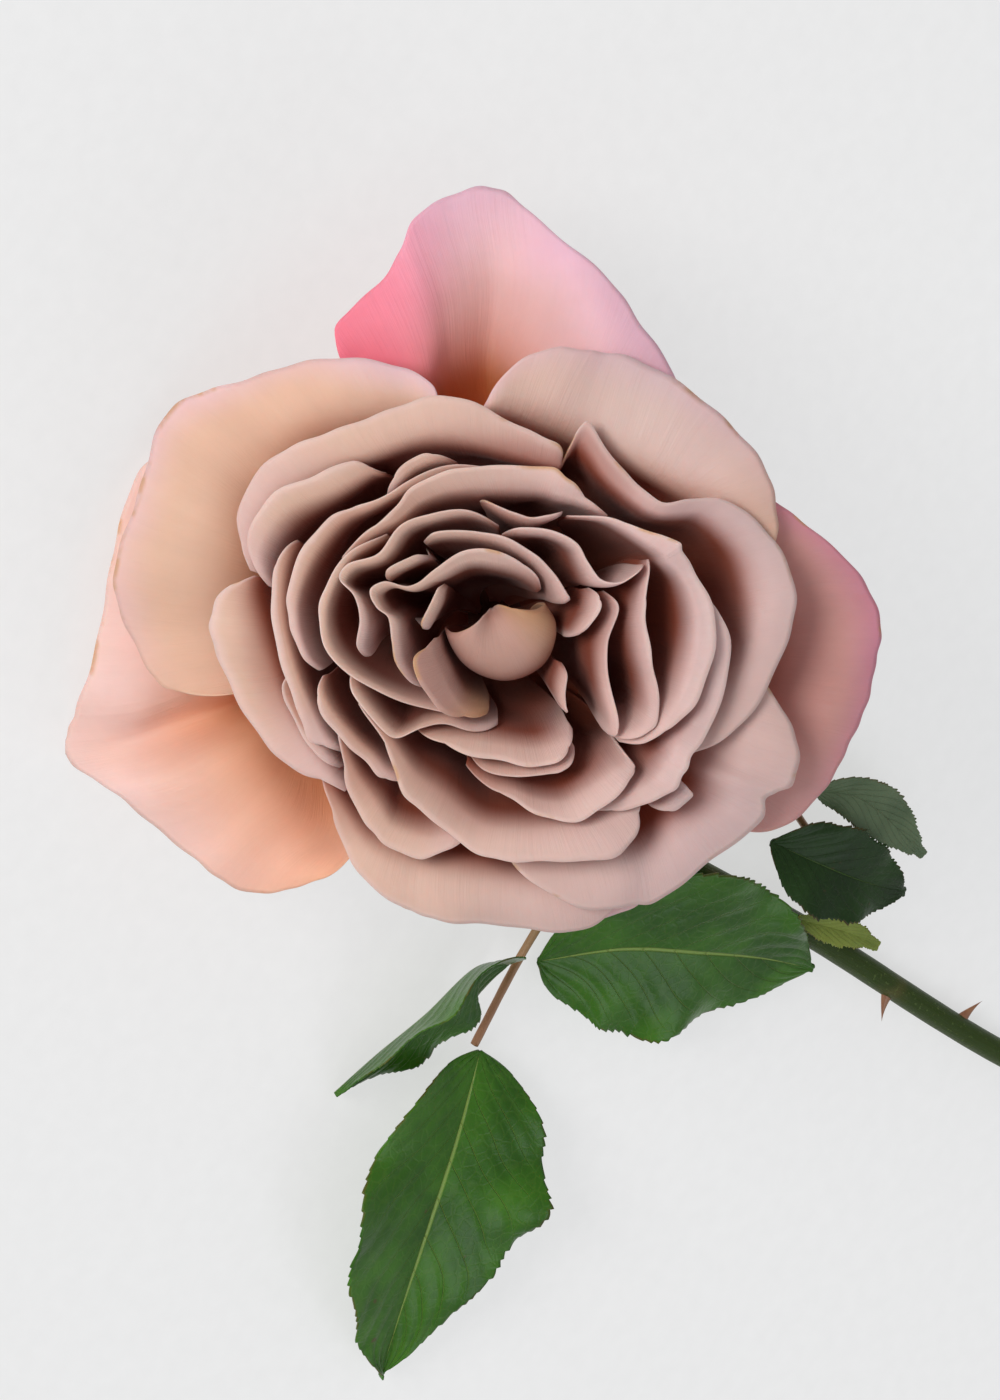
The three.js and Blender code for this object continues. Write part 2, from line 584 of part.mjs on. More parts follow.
// ---- The whole flower, with its origin on the table under its middle -------------------------
const rose = new THREE.Group();
rose.add(stem, bloom, sepals, leaves);
const box = new THREE.Box3().setFromObject(rose, true);
rose.position.set(-(box.min.x + box.max.x) / 2, -(box.min.y + box.max.y) / 2, -box.min.z);
export default rose;
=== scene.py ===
# A cut garden rose lying on a table. Its bloom of layered petals rests on the outermost ones and
# leans up and away from its stem. Each section below makes one piece, or one group of like pieces:
# the petals, the sepals, the stem with its prickles, the leaves, and last the table and its light.
import math

import bpy
import numpy as np
from mathutils import Matrix, Vector


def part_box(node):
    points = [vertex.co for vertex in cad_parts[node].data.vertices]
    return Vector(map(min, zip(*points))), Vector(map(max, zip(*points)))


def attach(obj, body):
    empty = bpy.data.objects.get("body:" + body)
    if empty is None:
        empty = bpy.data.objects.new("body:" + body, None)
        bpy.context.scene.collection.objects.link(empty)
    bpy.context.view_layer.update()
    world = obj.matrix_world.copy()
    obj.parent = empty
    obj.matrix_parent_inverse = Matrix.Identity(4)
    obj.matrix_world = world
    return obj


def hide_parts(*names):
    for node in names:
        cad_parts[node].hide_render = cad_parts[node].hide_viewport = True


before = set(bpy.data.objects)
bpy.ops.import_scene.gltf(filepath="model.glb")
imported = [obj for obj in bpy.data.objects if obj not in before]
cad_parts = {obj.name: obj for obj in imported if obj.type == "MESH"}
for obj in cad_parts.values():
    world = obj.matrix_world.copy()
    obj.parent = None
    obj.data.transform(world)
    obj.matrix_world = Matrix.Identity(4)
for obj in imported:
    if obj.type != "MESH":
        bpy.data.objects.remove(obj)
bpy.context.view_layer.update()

MM = 0.001
scene = bpy.context.scene


# ---- Petals --------------------------------------------------------------------------------
# Soft, thin, satin sheets, each grown from a narrow claw on the seat of the bloom. A petal's wall
# climbs to a crest and rolls past it to a free rim. All walls belong to one family of nested
# profiles, so they lie in layers, and one gentle warp of the whole bloom makes them irregular.
CROWN_HEIGHT = 43  # crest of an innermost petal that stands at the crown radius
CROWN_RADIUS = 20  # how far from the bloom's axis the highest crests stand
INNER_FALL = 0.02  # how fast crests fall inside the crown radius
OUTER_FALL = 0.026  # and outside it
RANK_FALL = 8  # how much lower the outermost petals crest
ROLL_RADIUS = 12  # of the free rim, past the crest
RIM_SLOPE = 1.6  # rise of a rim at its crest, where the petal stands
STANDING_RADIUS = 10  # a petal that crests inside this radius stands
LYING_RADIUS = 35  # and one that crests outside this lies open
CURL_RADIUS = 6  # of a rim that curls in
GATHERING = np.array([-3, 8])  # where a rim that curls in over the heart heads for
BELLY_SHARE = 0.86  # how far a petal's foot leans out, as a share of its reach
BELLY_RISE = 0.3  # and how soon it rises, as a share of its height
SHOULDER_SHARE = 0.5  # widest shoulder under the crest, as a share of the petal's reach
SHOULDER_LEAST = 4  # the shoulder of a standing petal without a roll
SHOULDER_PER_ROLL = 0.4
SHOULDER_SPREAD = 0.02  # how fast the shoulder widens past the spreading radius
SPREADING_RADIUS = 25
WALL_STRETCH = 1.12  # length of a petal's curved wall over the straight line beneath it
CLAW_SHARE = 0.3  # width of a petal's foot over its full width
FULL_WIDTH_SHARE = 0.75  # share of the way up at which a petal is at its full width
SIDE_DIP = 0.16  # how much shorter a petal is at its sides
SEAT_INNER = 1.6  # radius of the innermost foot on the seat
SEAT_OUTER = 9  # and of the outermost
SEAT_RISE = 6  # how much higher the innermost foot sits
BLOOM_ELEVATION = 55
BLOOM_YAW = 10
BLOOM_TURN = 23

# Each point is [x, y, roll] across the face of the bloom, in millimetres: the free rim, and how
# far inside it the petal crests. Where the roll is negative, the rim curls in over the heart
# instead, and x and y give the crest. Outermost petals come first.
PETALS = {
    "guard_petal_top": [
        [-24, 40, 4], [-23, 44, 5], [-15, 50, 8], [-10, 57, 11], [-1, 61, 12], [6, 56.5, 11],
        [16, 46, 9], [25, 37, 7], [28, 31, 4],
    ],
    "guard_petal_left": [
        [-46, 31, 4], [-51, 22, 6], [-54, 6, 8], [-58, -12, 11], [-60, -19, 12], [-52, -24, 11],
        [-43, -32, 9], [-33, -37.5, 7], [-25, -35, 5], [-21, -30, 3],
    ],
    "guard_petal_right": [
        [35, 27, 3], [42, 18, 5], [49, 9, 7], [53, 1, 8], [54, -5, 9], [52, -12, 9], [47, -20, 7],
        [41, -27.5, 6], [34, -32, 3],
    ],
    "guard_petal_bottom": [
        [27, -32, 0.5], [18, -37, 2], [7, -39, 2.5], [-5, -38, 2.5], [-13, -36, 2], [-18, -32, 1],
    ],
    "outer_petal_left": [
        [-6, 33, 2], [-10, 37.5, 4], [-17, 39.4, 5], [-27, 38.4, 7], [-38, 34, 9], [-46.5, 29.7, 11],
        [-49.5, 20, 11], [-52, 9, 11], [-51.5, 0, 10], [-47, -7, 7], [-42, -9, 4], [-38, -7, 2],
    ],
    "outer_petal_right": [
        [-3, 34, 2], [0, 38, 4], [6, 40.6, 6], [14, 39.8, 6.5], [23, 35.5, 7], [30.5, 30, 7],
        [36, 23.5, 6], [39, 16, 5], [39.8, 10, 3],
    ],
    "broad_petal_bottom": [
        [-27.5, -18.5, 0.2], [-24.5, -22.3, 1.2], [-19, -28.8, 3], [-13.2, -34.5, 5.5], [-9, -37, 6.5],
        [0, -39.4, 7], [8, -40, 7], [15, -38.3, 6], [18, -34.5, 3],
    ],
    "shell_petal_bottom": [
        [-2, -28.5, 1], [2, -32, 4], [9, -35.2, 6], [17, -35.4, 6.5], [23, -35.2, 7], [29, -31.2, 7],
        [34.5, -26.3, 7], [35.2, -21.6, 6], [38, -19.8, 6.5], [40.5, -14, 6.5], [41, -9, 6],
        [39.5, -2, 4],
    ],
    "shell_petal_right": [
        [8.5, 27, 0.5], [10.5, 30.5, 2], [12.8, 32.4, 2.5], [16.3, 26.5, 2], [20.6, 21.8, 1.5],
        [27, 20.2, 2.2], [32.5, 19, 3.2], [37, 13.8, 4], [38.6, 6, 4.5], [38.2, -1, 4.5],
        [35.2, -9.4, 4], [30, -14, 3], [26, -16.6, 1.2],
    ],
    "wrap_petal_top": [
        [7.5, 27.5, 0.5], [8.8, 29, 2.5], [3, 31.5, 3.5], [-6, 34, 4.5], [-15, 32.8, 4.5],
        [-23, 29.7, 4], [-30, 24.4, 3.6], [-37, 17.3, 3.6], [-39, 12, 3],
    ],
    "wrap_petal_left": [
        [-37.7, 11, 2], [-39.8, 8.5, 4], [-40.6, 3.6, 5.5], [-39.3, -3, 5.4], [-36.3, -10.2, 4.4],
        [-31, -17, 3.4], [-25, -22, 2.2],
    ],
    "wrap_petal_corner": [
        [-17.2, 25.4, 0.4], [-20.2, 26.2, 1.8], [-25.6, 22.8, 2], [-31.6, 18.3, 2], [-34.9, 13.8, 1.8],
        [-34.6, 9.5, 1],
    ],
    "wrap_petal_sliver": [
        [-31, -3.4, 0], [-31.7, -5.4, 0.3], [-30.6, -9.5, 0.5], [-28, -14.2, 0.6], [-25, -18, 0.5],
    ],
    "broad_petal_left": [
        [-29.3, 15.5, 0.3], [-31, 11.5, 1], [-31.4, 5, 1.2], [-30.8, -2, 1.6], [-29.6, -9, 2],
        [-28, -13.8, 2], [-25.2, -16.2, 1.2],
    ],
    "scalloped_petal_left": [
        [-26, -13.6, 1.6], [-23, -19, 2], [-18, -23, 2], [-14.5, -25.3, 1.6], [-9.5, -27.4, 2],
        [-6, -27.4, 2], [-2.8, -28.4, 2.4],
    ],
    "fold_petal_top": [
        [-6.5, 27.2, 0.3], [-12, 25.9, 0.7], [-17.3, 22.5, 0.3],
    ],
    "tan_edged_petal_left": [
        [-1, 27.3, 0.8], [-5.9, 25.8, 0.4], [-12, 23.6, 0.4], [-19.5, 20.6, 0.4], [-23, 18.8, 0.6],
        [-26.5, 13.7, 0.8], [-28.8, 7.5, 1], [-28.8, 4, 1], [-27.6, -0.5, 1], [-26.3, -3.3, 0.8],
    ],
    "short_petal_left": [
        [-26.2, -4.2, 1.2], [-25.9, -7.2, 1.2], [-24.6, -10.5, 1.2], [-22.4, -13.6, 1.2],
        [-19.6, -15.8, 1], [-17, -18, 1], [-13.2, -19.6, 0.6],
    ],
    "long_petal_bottom": [
        [-21.4, -8.2, 0.8], [-18, -13, 1.5], [-13.9, -18.6, 2.2], [-9, -22.4, 2.6], [-2.8, -27.4, 3.2],
        [2, -28.8, 4], [7.5, -28.5, 4], [13.7, -27.7, 4], [18.3, -26.3, 3.6], [20.4, -24.5, 2.4],
    ],
    "small_petal_right": [
        [26.3, -18.9, 0.8], [26, -20.7, 1], [24, -22.9, 1], [21.3, -24.6, 0.8],
    ],
    "band_petal_right": [
        [26, 12.2, 0.5], [27.4, 8.2, 1], [28.6, 4.5, 1.2], [29.8, -1.5, 1.6], [29, -8.2, 2],
        [26.8, -11.9, 1.8], [25.4, -15.5, 1.8], [23.3, -19.8, 2.4], [18.9, -22.2, 2.2],
        [13.7, -23.8, 2], [7.8, -23.4, 1],
    ],
    "tongue_petal_bottom": [
        [-5.5, -18, 0.2], [-2.5, -19.2, 0.5], [0.4, -20.3, 1], [4.1, -22.6, 2], [8.1, -23.3, 2.5],
        [12.1, -21.4, 2.5], [17, -18.4, 2], [19.2, -16.2, 1], [18.3, -14.6, 0.3],
    ],
    "arched_petal_top": [
        [-23.8, 13.8, 1], [-19.8, 17.3, 1.2], [-15.9, 19.4, 1.4], [-12.9, 22, 2], [-7.4, 24.4, 2.6],
        [-2, 26.1, 3.4], [5.2, 26.7, 3.8], [8.5, 24.9, 3], [11.6, 22.9, 2], [14.7, 20, 0.5],
    ],
    "pocket_petal_top": [
        [-4.5, 21.5, 0.3], [-2, 19.6, 0.2], [1, 18.3, 0.2], [3, 18, 0.2], [6, 18.8, 0.2],
        [8, 19.8, 0.2],
    ],
    "ear_petal_right": [
        [8.7, 19.4, 0.4], [14.7, 20, 1.5], [20, 17.8, 2], [24, 16.2, 3], [24.5, 14.6, 2.6],
        [25.8, 11.2, 1.6], [27.2, 5.5, 1.6], [27.1, 0, 1.6], [26, -5.1, 1.4], [23.9, -8.5, 1],
        [20.8, -12, 0.5], [18.2, -13.6, 0.3],
    ],
    "outer_ribbon_petal": [
        [20, 13.4, 0], [18.8, 9, 0.4], [18.4, 5, 0.5], [19.6, 0, 0.5], [21.2, -4, 0.5],
        [21.8, -7.8, 0.5], [20, -10.6, 0.4], [17, -12.6, 0.2],
    ],
    "inner_ribbon_petal": [
        [14, 8.4, 0], [14.7, 5.7, 0.3], [13.6, 0.8, 0.3], [14.8, -5, 0.5], [16.4, -10, 0.5],
        [16.2, -12.2, 0.3],
    ],
    "hidden_petal_bottom": [
        [-5, -16.2, 0], [-1, -16.6, 0.2], [3, -16.4, 0.2], [7.2, -15.5, 0.2], [10, -14.2, 0.1],
    ],
    "crescent_petal": [
        [-13.2, -12.4, 0.8], [-7.2, -13.2, 1.3], [-1, -14, 1.3], [4, -14.8, 1.8], [8, -13.5, 1.5],
        [10.2, -11.9, 0.5],
    ],
    "corner_petal_bottom": [
        [-20.9, -2.7, 0], [-19.6, -6, 0.2], [-16.8, -10.5, 0.2], [-15.2, -11.6, 0.2],
        [-11.4, -9.8, 0.2], [-8.2, -9.4, 0.2], [-4.6, -11, 0.2], [-1.5, -11.7, 0.2],
    ],
    "thin_petal_left": [
        [-17.5, 17, 0.2], [-21.5, 13.7, 0.3], [-23.3, 10, 0.3], [-24.1, 6.4, 0.4], [-23.1, 2, 0.3],
        [-20.4, -1.7, 0.2], [-15.7, -5, 0.2], [-10.2, -7.2, 0.2], [-5.3, -8.8, 0.2], [-4, -9.2, 0.2],
    ],
    "pleated_petal_left": [
        [-2, 18, 0.2], [-5.8, 19.3, 0.4], [-10.4, 18.6, 0.4], [-14.4, 17.4, 0.3], [-17.2, 13.6, 0.2],
        [-21.2, 11.8, 0.2], [-22, 10.2, 0.2], [-19.8, 8.3, 0.2], [-18.7, 5.4, 0.2], [-19.2, 2, 0.2],
        [-19.2, 0.2, 0.1],
    ],
    "wave_petal_top": [
        [-1.5, 16.6, 0], [1, 16.9, 0.2], [5.6, 16.6, 0.2], [8.6, 15, 0.2], [10, 12.4, 0.2],
        [11.6, 10.1, 0.2], [14.2, 9.7, 0.2], [17, 11.2, 0.2], [19.2, 12.9, 0.2],
    ],
    "scalloped_curl": [
        [12.2, 9.5, 0.6], [11.8, 6.2, 0.8], [10.4, 3.6, 0.8], [9.8, 2.4, 0.3],
    ],
    "arched_petal_inner": [
        [-12.4, 15.8, 0.2], [-10.2, 16.4, 0.4], [-4.3, 16, 0.3], [0, 14.8, 0.3], [3.3, 13, 0.3],
        [5.9, 10.6, 0.3], [8, 7.7, 0.2], [8.9, 7.4, 0],
    ],
    "sliver_petal_left": [
        [-17, 11, 0], [-15.6, 12.2, 0.2], [-13.3, 13.3, 0.2], [-11.5, 13.8, 0],
    ],
    "pleated_petal_inner": [
        [5.2, 9.6, 0.3], [4.2, 11, 0.8], [1.9, 12.6, 1.2], [-2.2, 13.8, 1.4], [-6.6, 13.8, 1.2],
        [-10.2, 11.6, 0.6], [-13.4, 9.8, 0.2], [-16.5, 10.3, 0.2], [-18, 9.3, 0.2], [-17, 7.2, 0.2],
        [-15.5, 6, 0.2], [-14.9, 2.9, 0.2], [-14.5, 0, 0.2], [-13.2, -3.2, 0.2], [-12, -5, 0.2],
    ],
    "slim_petal_left": [
        [-9.6, 10.2, 0], [-10.1, 8.3, 0.2], [-11.1, 6.2, 0.2], [-12, 4.2, 0],
    ],
    "small_curl": [
        [8.4, -1.6, 0], [7.8, -4.2, 0.2], [7.8, -6.4, 0.3], [8.6, -8.4, 0.2],
    ],
    "cheek_petal": [
        [-12.4, 3.2, 1.6], [-12.8, 0.8, 2.6], [-11.6, -2.4, 2.6], [-9.6, -5.6, 2], [-6.6, -8.2, 1],
        [-3, -10, 0.4],
    ],
    "hood_petal": [
        [-8, 3.2, -7], [-7, 0.6, -9], [-5.4, -1.8, -11], [-3, -3.5, -13], [0, -4.2, -14.5],
        [3, -3.4, -15], [5.4, -1.6, -15], [6.6, 1.2, -14], [6.6, 3.8, -12], [5.2, 6, -9.5],
    ],
}
PETAL_NAMES = list(PETALS)


def petal_rank(i):
    """1 for the outermost petal, down to 0 for the innermost."""
    return 1 - i / (len(PETAL_NAMES) - 1)


def bloom_axes():
    """The bloom's own right, up and outward directions, as the columns of a matrix."""
    up, aside = math.radians(BLOOM_ELEVATION), math.radians(BLOOM_YAW)
    axis = Vector((-math.cos(up) * math.cos(aside), -math.cos(up) * math.sin(aside), math.sin(up)))
    level = (Vector((0, 0, 1)) - axis * axis.z).normalized()
    right = Matrix.Rotation(math.radians(BLOOM_TURN), 3, axis) @ level
    return np.array([right, axis.cross(right), axis]).T


AXES = bloom_axes()


def smooth_curve(points, u):
    """Points on a centripetal Catmull-Rom curve through the given points, at u from 0 to 1."""
    points = np.asarray(points, float)
    points = np.vstack([2 * points[0] - points[1], points, 2 * points[-1] - points[-2]])
    spans = len(points) - 3
    place = np.clip(np.asarray(u, float), 0, 1) * spans
    i = np.minimum(place.astype(int), spans - 1)
    w = (place - i)[..., None]
    before, start, end, after = (points[i + k] for k in range(4))
    steps = [np.sqrt(np.linalg.norm(b - a, axis=-1, keepdims=True))
             for a, b in ((before, start), (start, end), (end, after))]
    first, middle, last = steps
    chord = (end - start) / middle
    leave = ((start - before) / first - (end - before) / (first + middle) + chord) * middle
    arrive = (chord - (after - start) / (middle + last) + (after - end) / last) * middle
    return (start + leave * w + (3 * (end - start) - 2 * leave - arrive) * w**2
            + (2 * (start - end) + leave + arrive) * w**3)


def bezier(t, a, b, c, d):
    """A point on a cubic curve from a to d that heads for b and comes from c."""
    s = 1 - t
    return s**3 * a + 3 * s * s * t * b + 3 * s * t * t * c + t**3 * d


def crest_slope(crest):
    """How steeply a petal still rises at its crest: none where it lies open."""
    t = np.clip((crest - STANDING_RADIUS) / (LYING_RADIUS - STANDING_RADIUS), 0, 1)
    return RIM_SLOPE * (1 - t * t * (3 - 2 * t))


def profile(crest, roll, rank, share):
    """Radius, height and how far past the crest, at a share of the way up a petal."""
    curls = roll < 0
    seat, height = SEAT_INNER + (SEAT_OUTER - SEAT_INNER) * rank, SEAT_RISE * (1 - rank)
    fall = np.where(crest > CROWN_RADIUS, OUTER_FALL, INNER_FALL)
    top = CROWN_HEIGHT - RANK_FALL * rank - fall * (crest - CROWN_RADIUS) ** 2 - CURL_RADIUS * curls
    slope = crest_slope(crest)
    wall = WALL_STRETCH * np.hypot(crest - seat, top - height)
    along = share * (wall + np.abs(roll))
    past = np.maximum(0, along - wall)
    t = np.minimum(1, along / wall)
    spread = np.maximum(0, crest - SPREADING_RADIUS)
    roundness = SHOULDER_LEAST + SHOULDER_PER_ROLL * np.maximum(0, roll) + SHOULDER_SPREAD * spread**2
    shoulder = np.where(curls, 0, np.minimum(SHOULDER_SHARE * (crest - seat), roundness))
    drop = np.where(curls, CURL_RADIUS, slope * shoulder)
    belly = np.where(curls, 0, BELLY_SHARE * (crest - seat))
    radius = bezier(t, seat, seat + belly, crest - shoulder, crest)
    rise = bezier(t, height, height + BELLY_RISE * (top - height), top - drop, top)
    bend = past / CURL_RADIUS
    rise += np.where(curls, CURL_RADIUS * np.sin(bend), slope * past - past**2 / (2 * ROLL_RADIUS))
    return radius, rise, np.where(curls, CURL_RADIUS * (1 - np.cos(bend)), past)


def petal_points(points, rank, across, along):
    """The plain sheet of a petal in the bloom's own axes, in millimetres."""
    crests = []
    for x, y, roll in points:
        shrink = 1 - max(0, roll) / math.hypot(x, y)
        crests.append((x * shrink, y * shrink, roll))
    widening = np.sin(math.pi / 2 * np.minimum(1, along / FULL_WIDTH_SHARE))
    width = CLAW_SHARE + (1 - CLAW_SHARE) * widening
    line = smooth_curve(crests, 0.5 + 0.5 * across * width)
    crest = np.hypot(line[..., 0], line[..., 1])
    share = along * (1 - SIDE_DIP * np.abs(across) ** 6)
    radius, height, past = profile(crest, line[..., 2], rank, share)
    outward = line[..., :2] / crest[..., None]
    place = outward * radius[..., None]
    inward = GATHERING - place
    inward /= np.linalg.norm(inward, axis=-1, keepdims=True)
    place += np.where(line[..., 2:] < 0, inward, outward) * past[..., None]
    return np.concatenate([place, height[..., None]], -1)


def find_seat():
    """The seat's place, around which the plain sheets fill the boxes of the solids they stand for."""
    offsets = []
    across, along = np.meshgrid(np.linspace(-1, 1, 40), np.linspace(0, 1, 30))
    for i, name in enumerate(PETAL_NAMES):
        low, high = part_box(name)
        sheet = petal_points(PETALS[name], petal_rank(i), across, along) @ AXES.T * MM
        sheet = sheet.reshape(-1, 3)
        offsets.append((np.array(low) + np.array(high)) / 2 - (sheet.min(0) + sheet.max(0)) / 2)
    return np.median(offsets, 0)


SEAT = find_seat()


class Number:
    """A number that varies over a surface, inside one finish, with the usual signs of arithmetic."""

    def __init__(self, finish, socket):
        self.finish, self.socket = finish, socket

    def math(self, operation, *others, flip=False):
        values = [self, *others]
        if flip:
            values.reverse()
        return self.finish.node("ShaderNodeMath", dict(enumerate(values)), operation=operation)

    def __add__(self, other): return self.math("ADD", other)
    def __radd__(self, other): return self.math("ADD", other)
    def __sub__(self, other): return self.math("SUBTRACT", other)
    def __rsub__(self, other): return self.math("SUBTRACT", other, flip=True)
    def __mul__(self, other): return self.math("MULTIPLY", other)
    def __pow__(self, other): return self.math("POWER", other)


class Finish:
    """A material under construction."""

    def __init__(self, name, **constants):
        self.material = bpy.data.materials.new(name)
        self.material.use_nodes = True
        self.tree = self.material.node_tree
        self.surface = self.tree.nodes["Principled BSDF"]
        for socket, value in constants.items():
            self.surface.inputs[socket.replace("_", " ")].default_value = value

    def node(self, kind, inputs=(), output=0, **settings):
        """Adds a node, sets or links its inputs, and gives one of its outputs."""
        made = self.tree.nodes.new(kind)
        for key, value in settings.items():
            setattr(made, key, value)
        for key, value in dict(inputs).items():
            if isinstance(value, Number):
                self.tree.links.new(value.socket, made.inputs[key])
            else:
                if isinstance(value, tuple) and made.inputs[key].type == "RGBA" and len(value) == 3:
                    value = (*value, 1)
                made.inputs[key].default_value = value
        return Number(self, made.outputs[output])

    def mix(self, factor, first, second):
        """Blends two colours; the factor stays between 0 and 1."""
        return self.node("ShaderNodeMix", {0: factor, 6: first, 7: second}, output=2, data_type="RGBA")

    def step(self, value, low, high):
        """0 below low, 1 above high, smooth between."""
        return self.node("ShaderNodeMapRange", {0: value, 1: low, 2: high}, interpolation_type="SMOOTHSTEP")

    def noise(self, vector, scale, detail=2.0, roughness=0.5):
        inputs = {"Vector": vector, "Scale": scale, "Detail": detail, "Roughness": roughness}
        return self.node("ShaderNodeTexNoise", inputs)

    def place(self):
        """Where a point of the surface is, in metres."""
        return self.node("ShaderNodeTexCoord", output="Object")

    def sheet_axes(self):
        """The two directions of a piece's own UV map: across it and along it."""
        uv = self.node("ShaderNodeUVMap", uv_map="sheet")
        return [self.node("ShaderNodeSeparateXYZ", {0: uv}, output=k) for k in (0, 1)]

    def bloom_place(self, place):
        """Where a point is in the bloom's own axes, in millimetres."""
        measures = []
        for direction in AXES.T:
            inputs = {0: place, 1: tuple(direction / MM)}
            reach = self.node("ShaderNodeVectorMath", inputs, output=1, operation="DOT_PRODUCT")
            measures.append(reach - float(SEAT @ direction / MM))
        return measures

    def vector(self, x, y, z):
        return self.node("ShaderNodeCombineXYZ", {0: x, 1: y, 2: z})

    def set(self, **links):
        """Links varying values to the surface's sockets."""
        for socket, value in links.items():
            self.tree.links.new(value.socket, self.surface.inputs[socket.replace("_", " ")])

    def bump(self, height, distance, strength=1.0):
        inputs = {"Height": height, "Distance": distance, "Strength": strength}
        self.set(Normal=self.node("ShaderNodeBump", inputs))


# The depth under the crown sets where petals darken with painted shade deep in the bloom.
DEPTH_PER_RADIUS = 0.18  # how much lower wider layers crest, beyond the crown's own fall
HEART_DEPTH = 3  # how much deeper the petals of the heart count, so their painted shade is darker
HEART_EDGE = (4, 16)  # radii over which that extra depth fades out
COOLING = (-30, 30)  # places across the bloom between which petals turn cooler
TAN = (0.55, 0.30, 0.13)


def bloom_depth(finish, right, up, out):
    """How deep under the crown's surface a point is, in millimetres."""
    radius = (right * right + up * up) ** 0.5
    ring = radius - CROWN_RADIUS
    depth = CROWN_HEIGHT - ring * ring * OUTER_FALL - radius * DEPTH_PER_RADIUS - out
    return depth + (1 - finish.step(radius, *HEART_EDGE)) * HEART_DEPTH


def petal_finish(name, body, cool, rim, base_and_depth_shade, blush, blush_side=1, rim_width=0.03, sunk=None):
    """Satin petal: cooler towards the bloom's right, a warm base colour that also serves as painted shade,
    a patchy rim, a blush on one side.

    Sunk gives the depths under the crown, in millimetres, over which the base colour comes in as painted
    shade between the layers.
    Without it the base colour comes in towards the petal's own foot, partly its own warmer colour and
    partly painted shade.
    """
    finish = Finish(name, Subsurface_Weight=0.25, Subsurface_Scale=0.0012, Sheen_Weight=0.06,
                    Sheen_Roughness=0.5, Specular_IOR_Level=0.25)
    finish.surface.inputs["Subsurface Radius"].default_value = (1.0, 0.35, 0.25)
    across, along = finish.sheet_axes()
    place = finish.place()
    mottle = finish.noise(place, 90, 4.0, 0.6)
    drift = finish.noise(place, 30, 2.0) - 0.5
    veins = finish.noise(finish.vector(across * 26, along * 1.6, 0.0), 1.0, 5.0, 0.65)
    fine = finish.noise(finish.vector(across * 110, along * 6, 3.0), 1.0, 3.0, 0.6)
    right, up, out = finish.bloom_place(place)
    color = finish.mix(finish.step(right + drift * 20, *COOLING), body, cool)
    # Painted shade: deeper under the crown, or nearer the foot, the colour turns to the dark base colour.
    if sunk:
        depth = bloom_depth(finish, right, up, out)
        color = finish.mix(finish.step(depth + drift * 4, *sunk), color, base_and_depth_shade)
    else:
        color = finish.mix(finish.step(along + drift * 0.2, 0.35, 0.9), base_and_depth_shade, color)
    margin = finish.step(along + drift * rim_width * 2, 1 - rim_width, 1.0 + rim_width / 2)
    color = finish.mix(margin, color, rim)
    side = finish.step(across * blush_side + drift * 0.6, 0.1, 0.85)
    color = finish.mix(side * finish.step(along, 0.4, 0.85), color, blush)
    bruise = finish.step(along, 0.985, 0.998) * finish.step(mottle, 0.57, 0.66)
    color = finish.mix(bruise * 0.7, color, TAN)
    shade = 0.86 + mottle * 0.2 + veins * 0.08
    finish.set(Base_Color=finish.node("ShaderNodeHueSaturation", {"Value": shade, "Color": color}))
    finish.set(Roughness=0.5 + fine * 0.2)
    finish.bump(veins * 0.7 + fine * 0.3 + mottle * 0.4, 0.00022, 0.6)
    return finish.material


PINK = petal_finish(
    "petal_pink", body=(0.80, 0.50, 0.46), cool=(0.68, 0.42, 0.45), rim=(0.82, 0.48, 0.62),
    base_and_depth_shade=(0.62, 0.22, 0.08), blush=(0.92, 0.20, 0.28), blush_side=-1, rim_width=0.2,
)
PEACH = petal_finish(
    "petal_peach", body=(0.80, 0.45, 0.33), cool=(0.80, 0.45, 0.34), rim=(0.84, 0.58, 0.56),
    base_and_depth_shade=(0.80, 0.36, 0.17), blush=(0.80, 0.40, 0.26), rim_width=0.3,
)
CREAM = petal_finish(
    "petal_cream", body=(0.70, 0.44, 0.32), cool=(0.74, 0.53, 0.49), rim=(0.76, 0.50, 0.55),
    base_and_depth_shade=(0.56, 0.21, 0.07), blush=(0.70, 0.42, 0.30), rim_width=0.09,
)
MAUVE = petal_finish(
    "petal_mauve", body=(0.56, 0.29, 0.25), cool=(0.56, 0.29, 0.26), rim=(0.70, 0.25, 0.40),
    base_and_depth_shade=(0.40, 0.15, 0.09), blush=(0.58, 0.33, 0.30), rim_width=0.16,
)
# Its dark red-brown base colour is painted shade for the depths between the layers.
DUSTY = petal_finish(
    "petal_dusty_pink", body=(0.69, 0.45, 0.35), cool=(0.71, 0.49, 0.47), rim=(0.76, 0.54, 0.50),
    base_and_depth_shade=(0.27, 0.06, 0.03), blush=(0.70, 0.47, 0.43), sunk=(-2, 5.5),
)
# A darker copy of the dusty pink for the two petals deep in the heart: painted shade.
HEART_DUSTY_SHADED = petal_finish(
    "petal_heart_shaded", body=(0.53, 0.31, 0.26), cool=(0.50, 0.29, 0.23), rim=(0.62, 0.40, 0.35),
    base_and_depth_shade=(0.24, 0.05, 0.025), blush=(0.50, 0.27, 0.15), sunk=(0, 8),
)
PETAL_FINISH = {
    "guard_petal_top": PINK,
    "guard_petal_left": PEACH,
    "guard_petal_bottom": CREAM,
    "guard_petal_right": MAUVE,
    "outer_petal_left": CREAM,
    "outer_petal_right": CREAM,
    "cheek_petal": HEART_DUSTY_SHADED,
    "hood_petal": HEART_DUSTY_SHADED,
}


WARP_SEED = 5
WARP_WAVES = 9
WARP_LENGTHS = (15, 42)
WARP_PUSH = 0.016  # how far each wave shifts a point, as a share of its length
WARP_HEIGHT = 25  # at this height and radius the warp comes to its full strength
WARP_RADIUS = 18


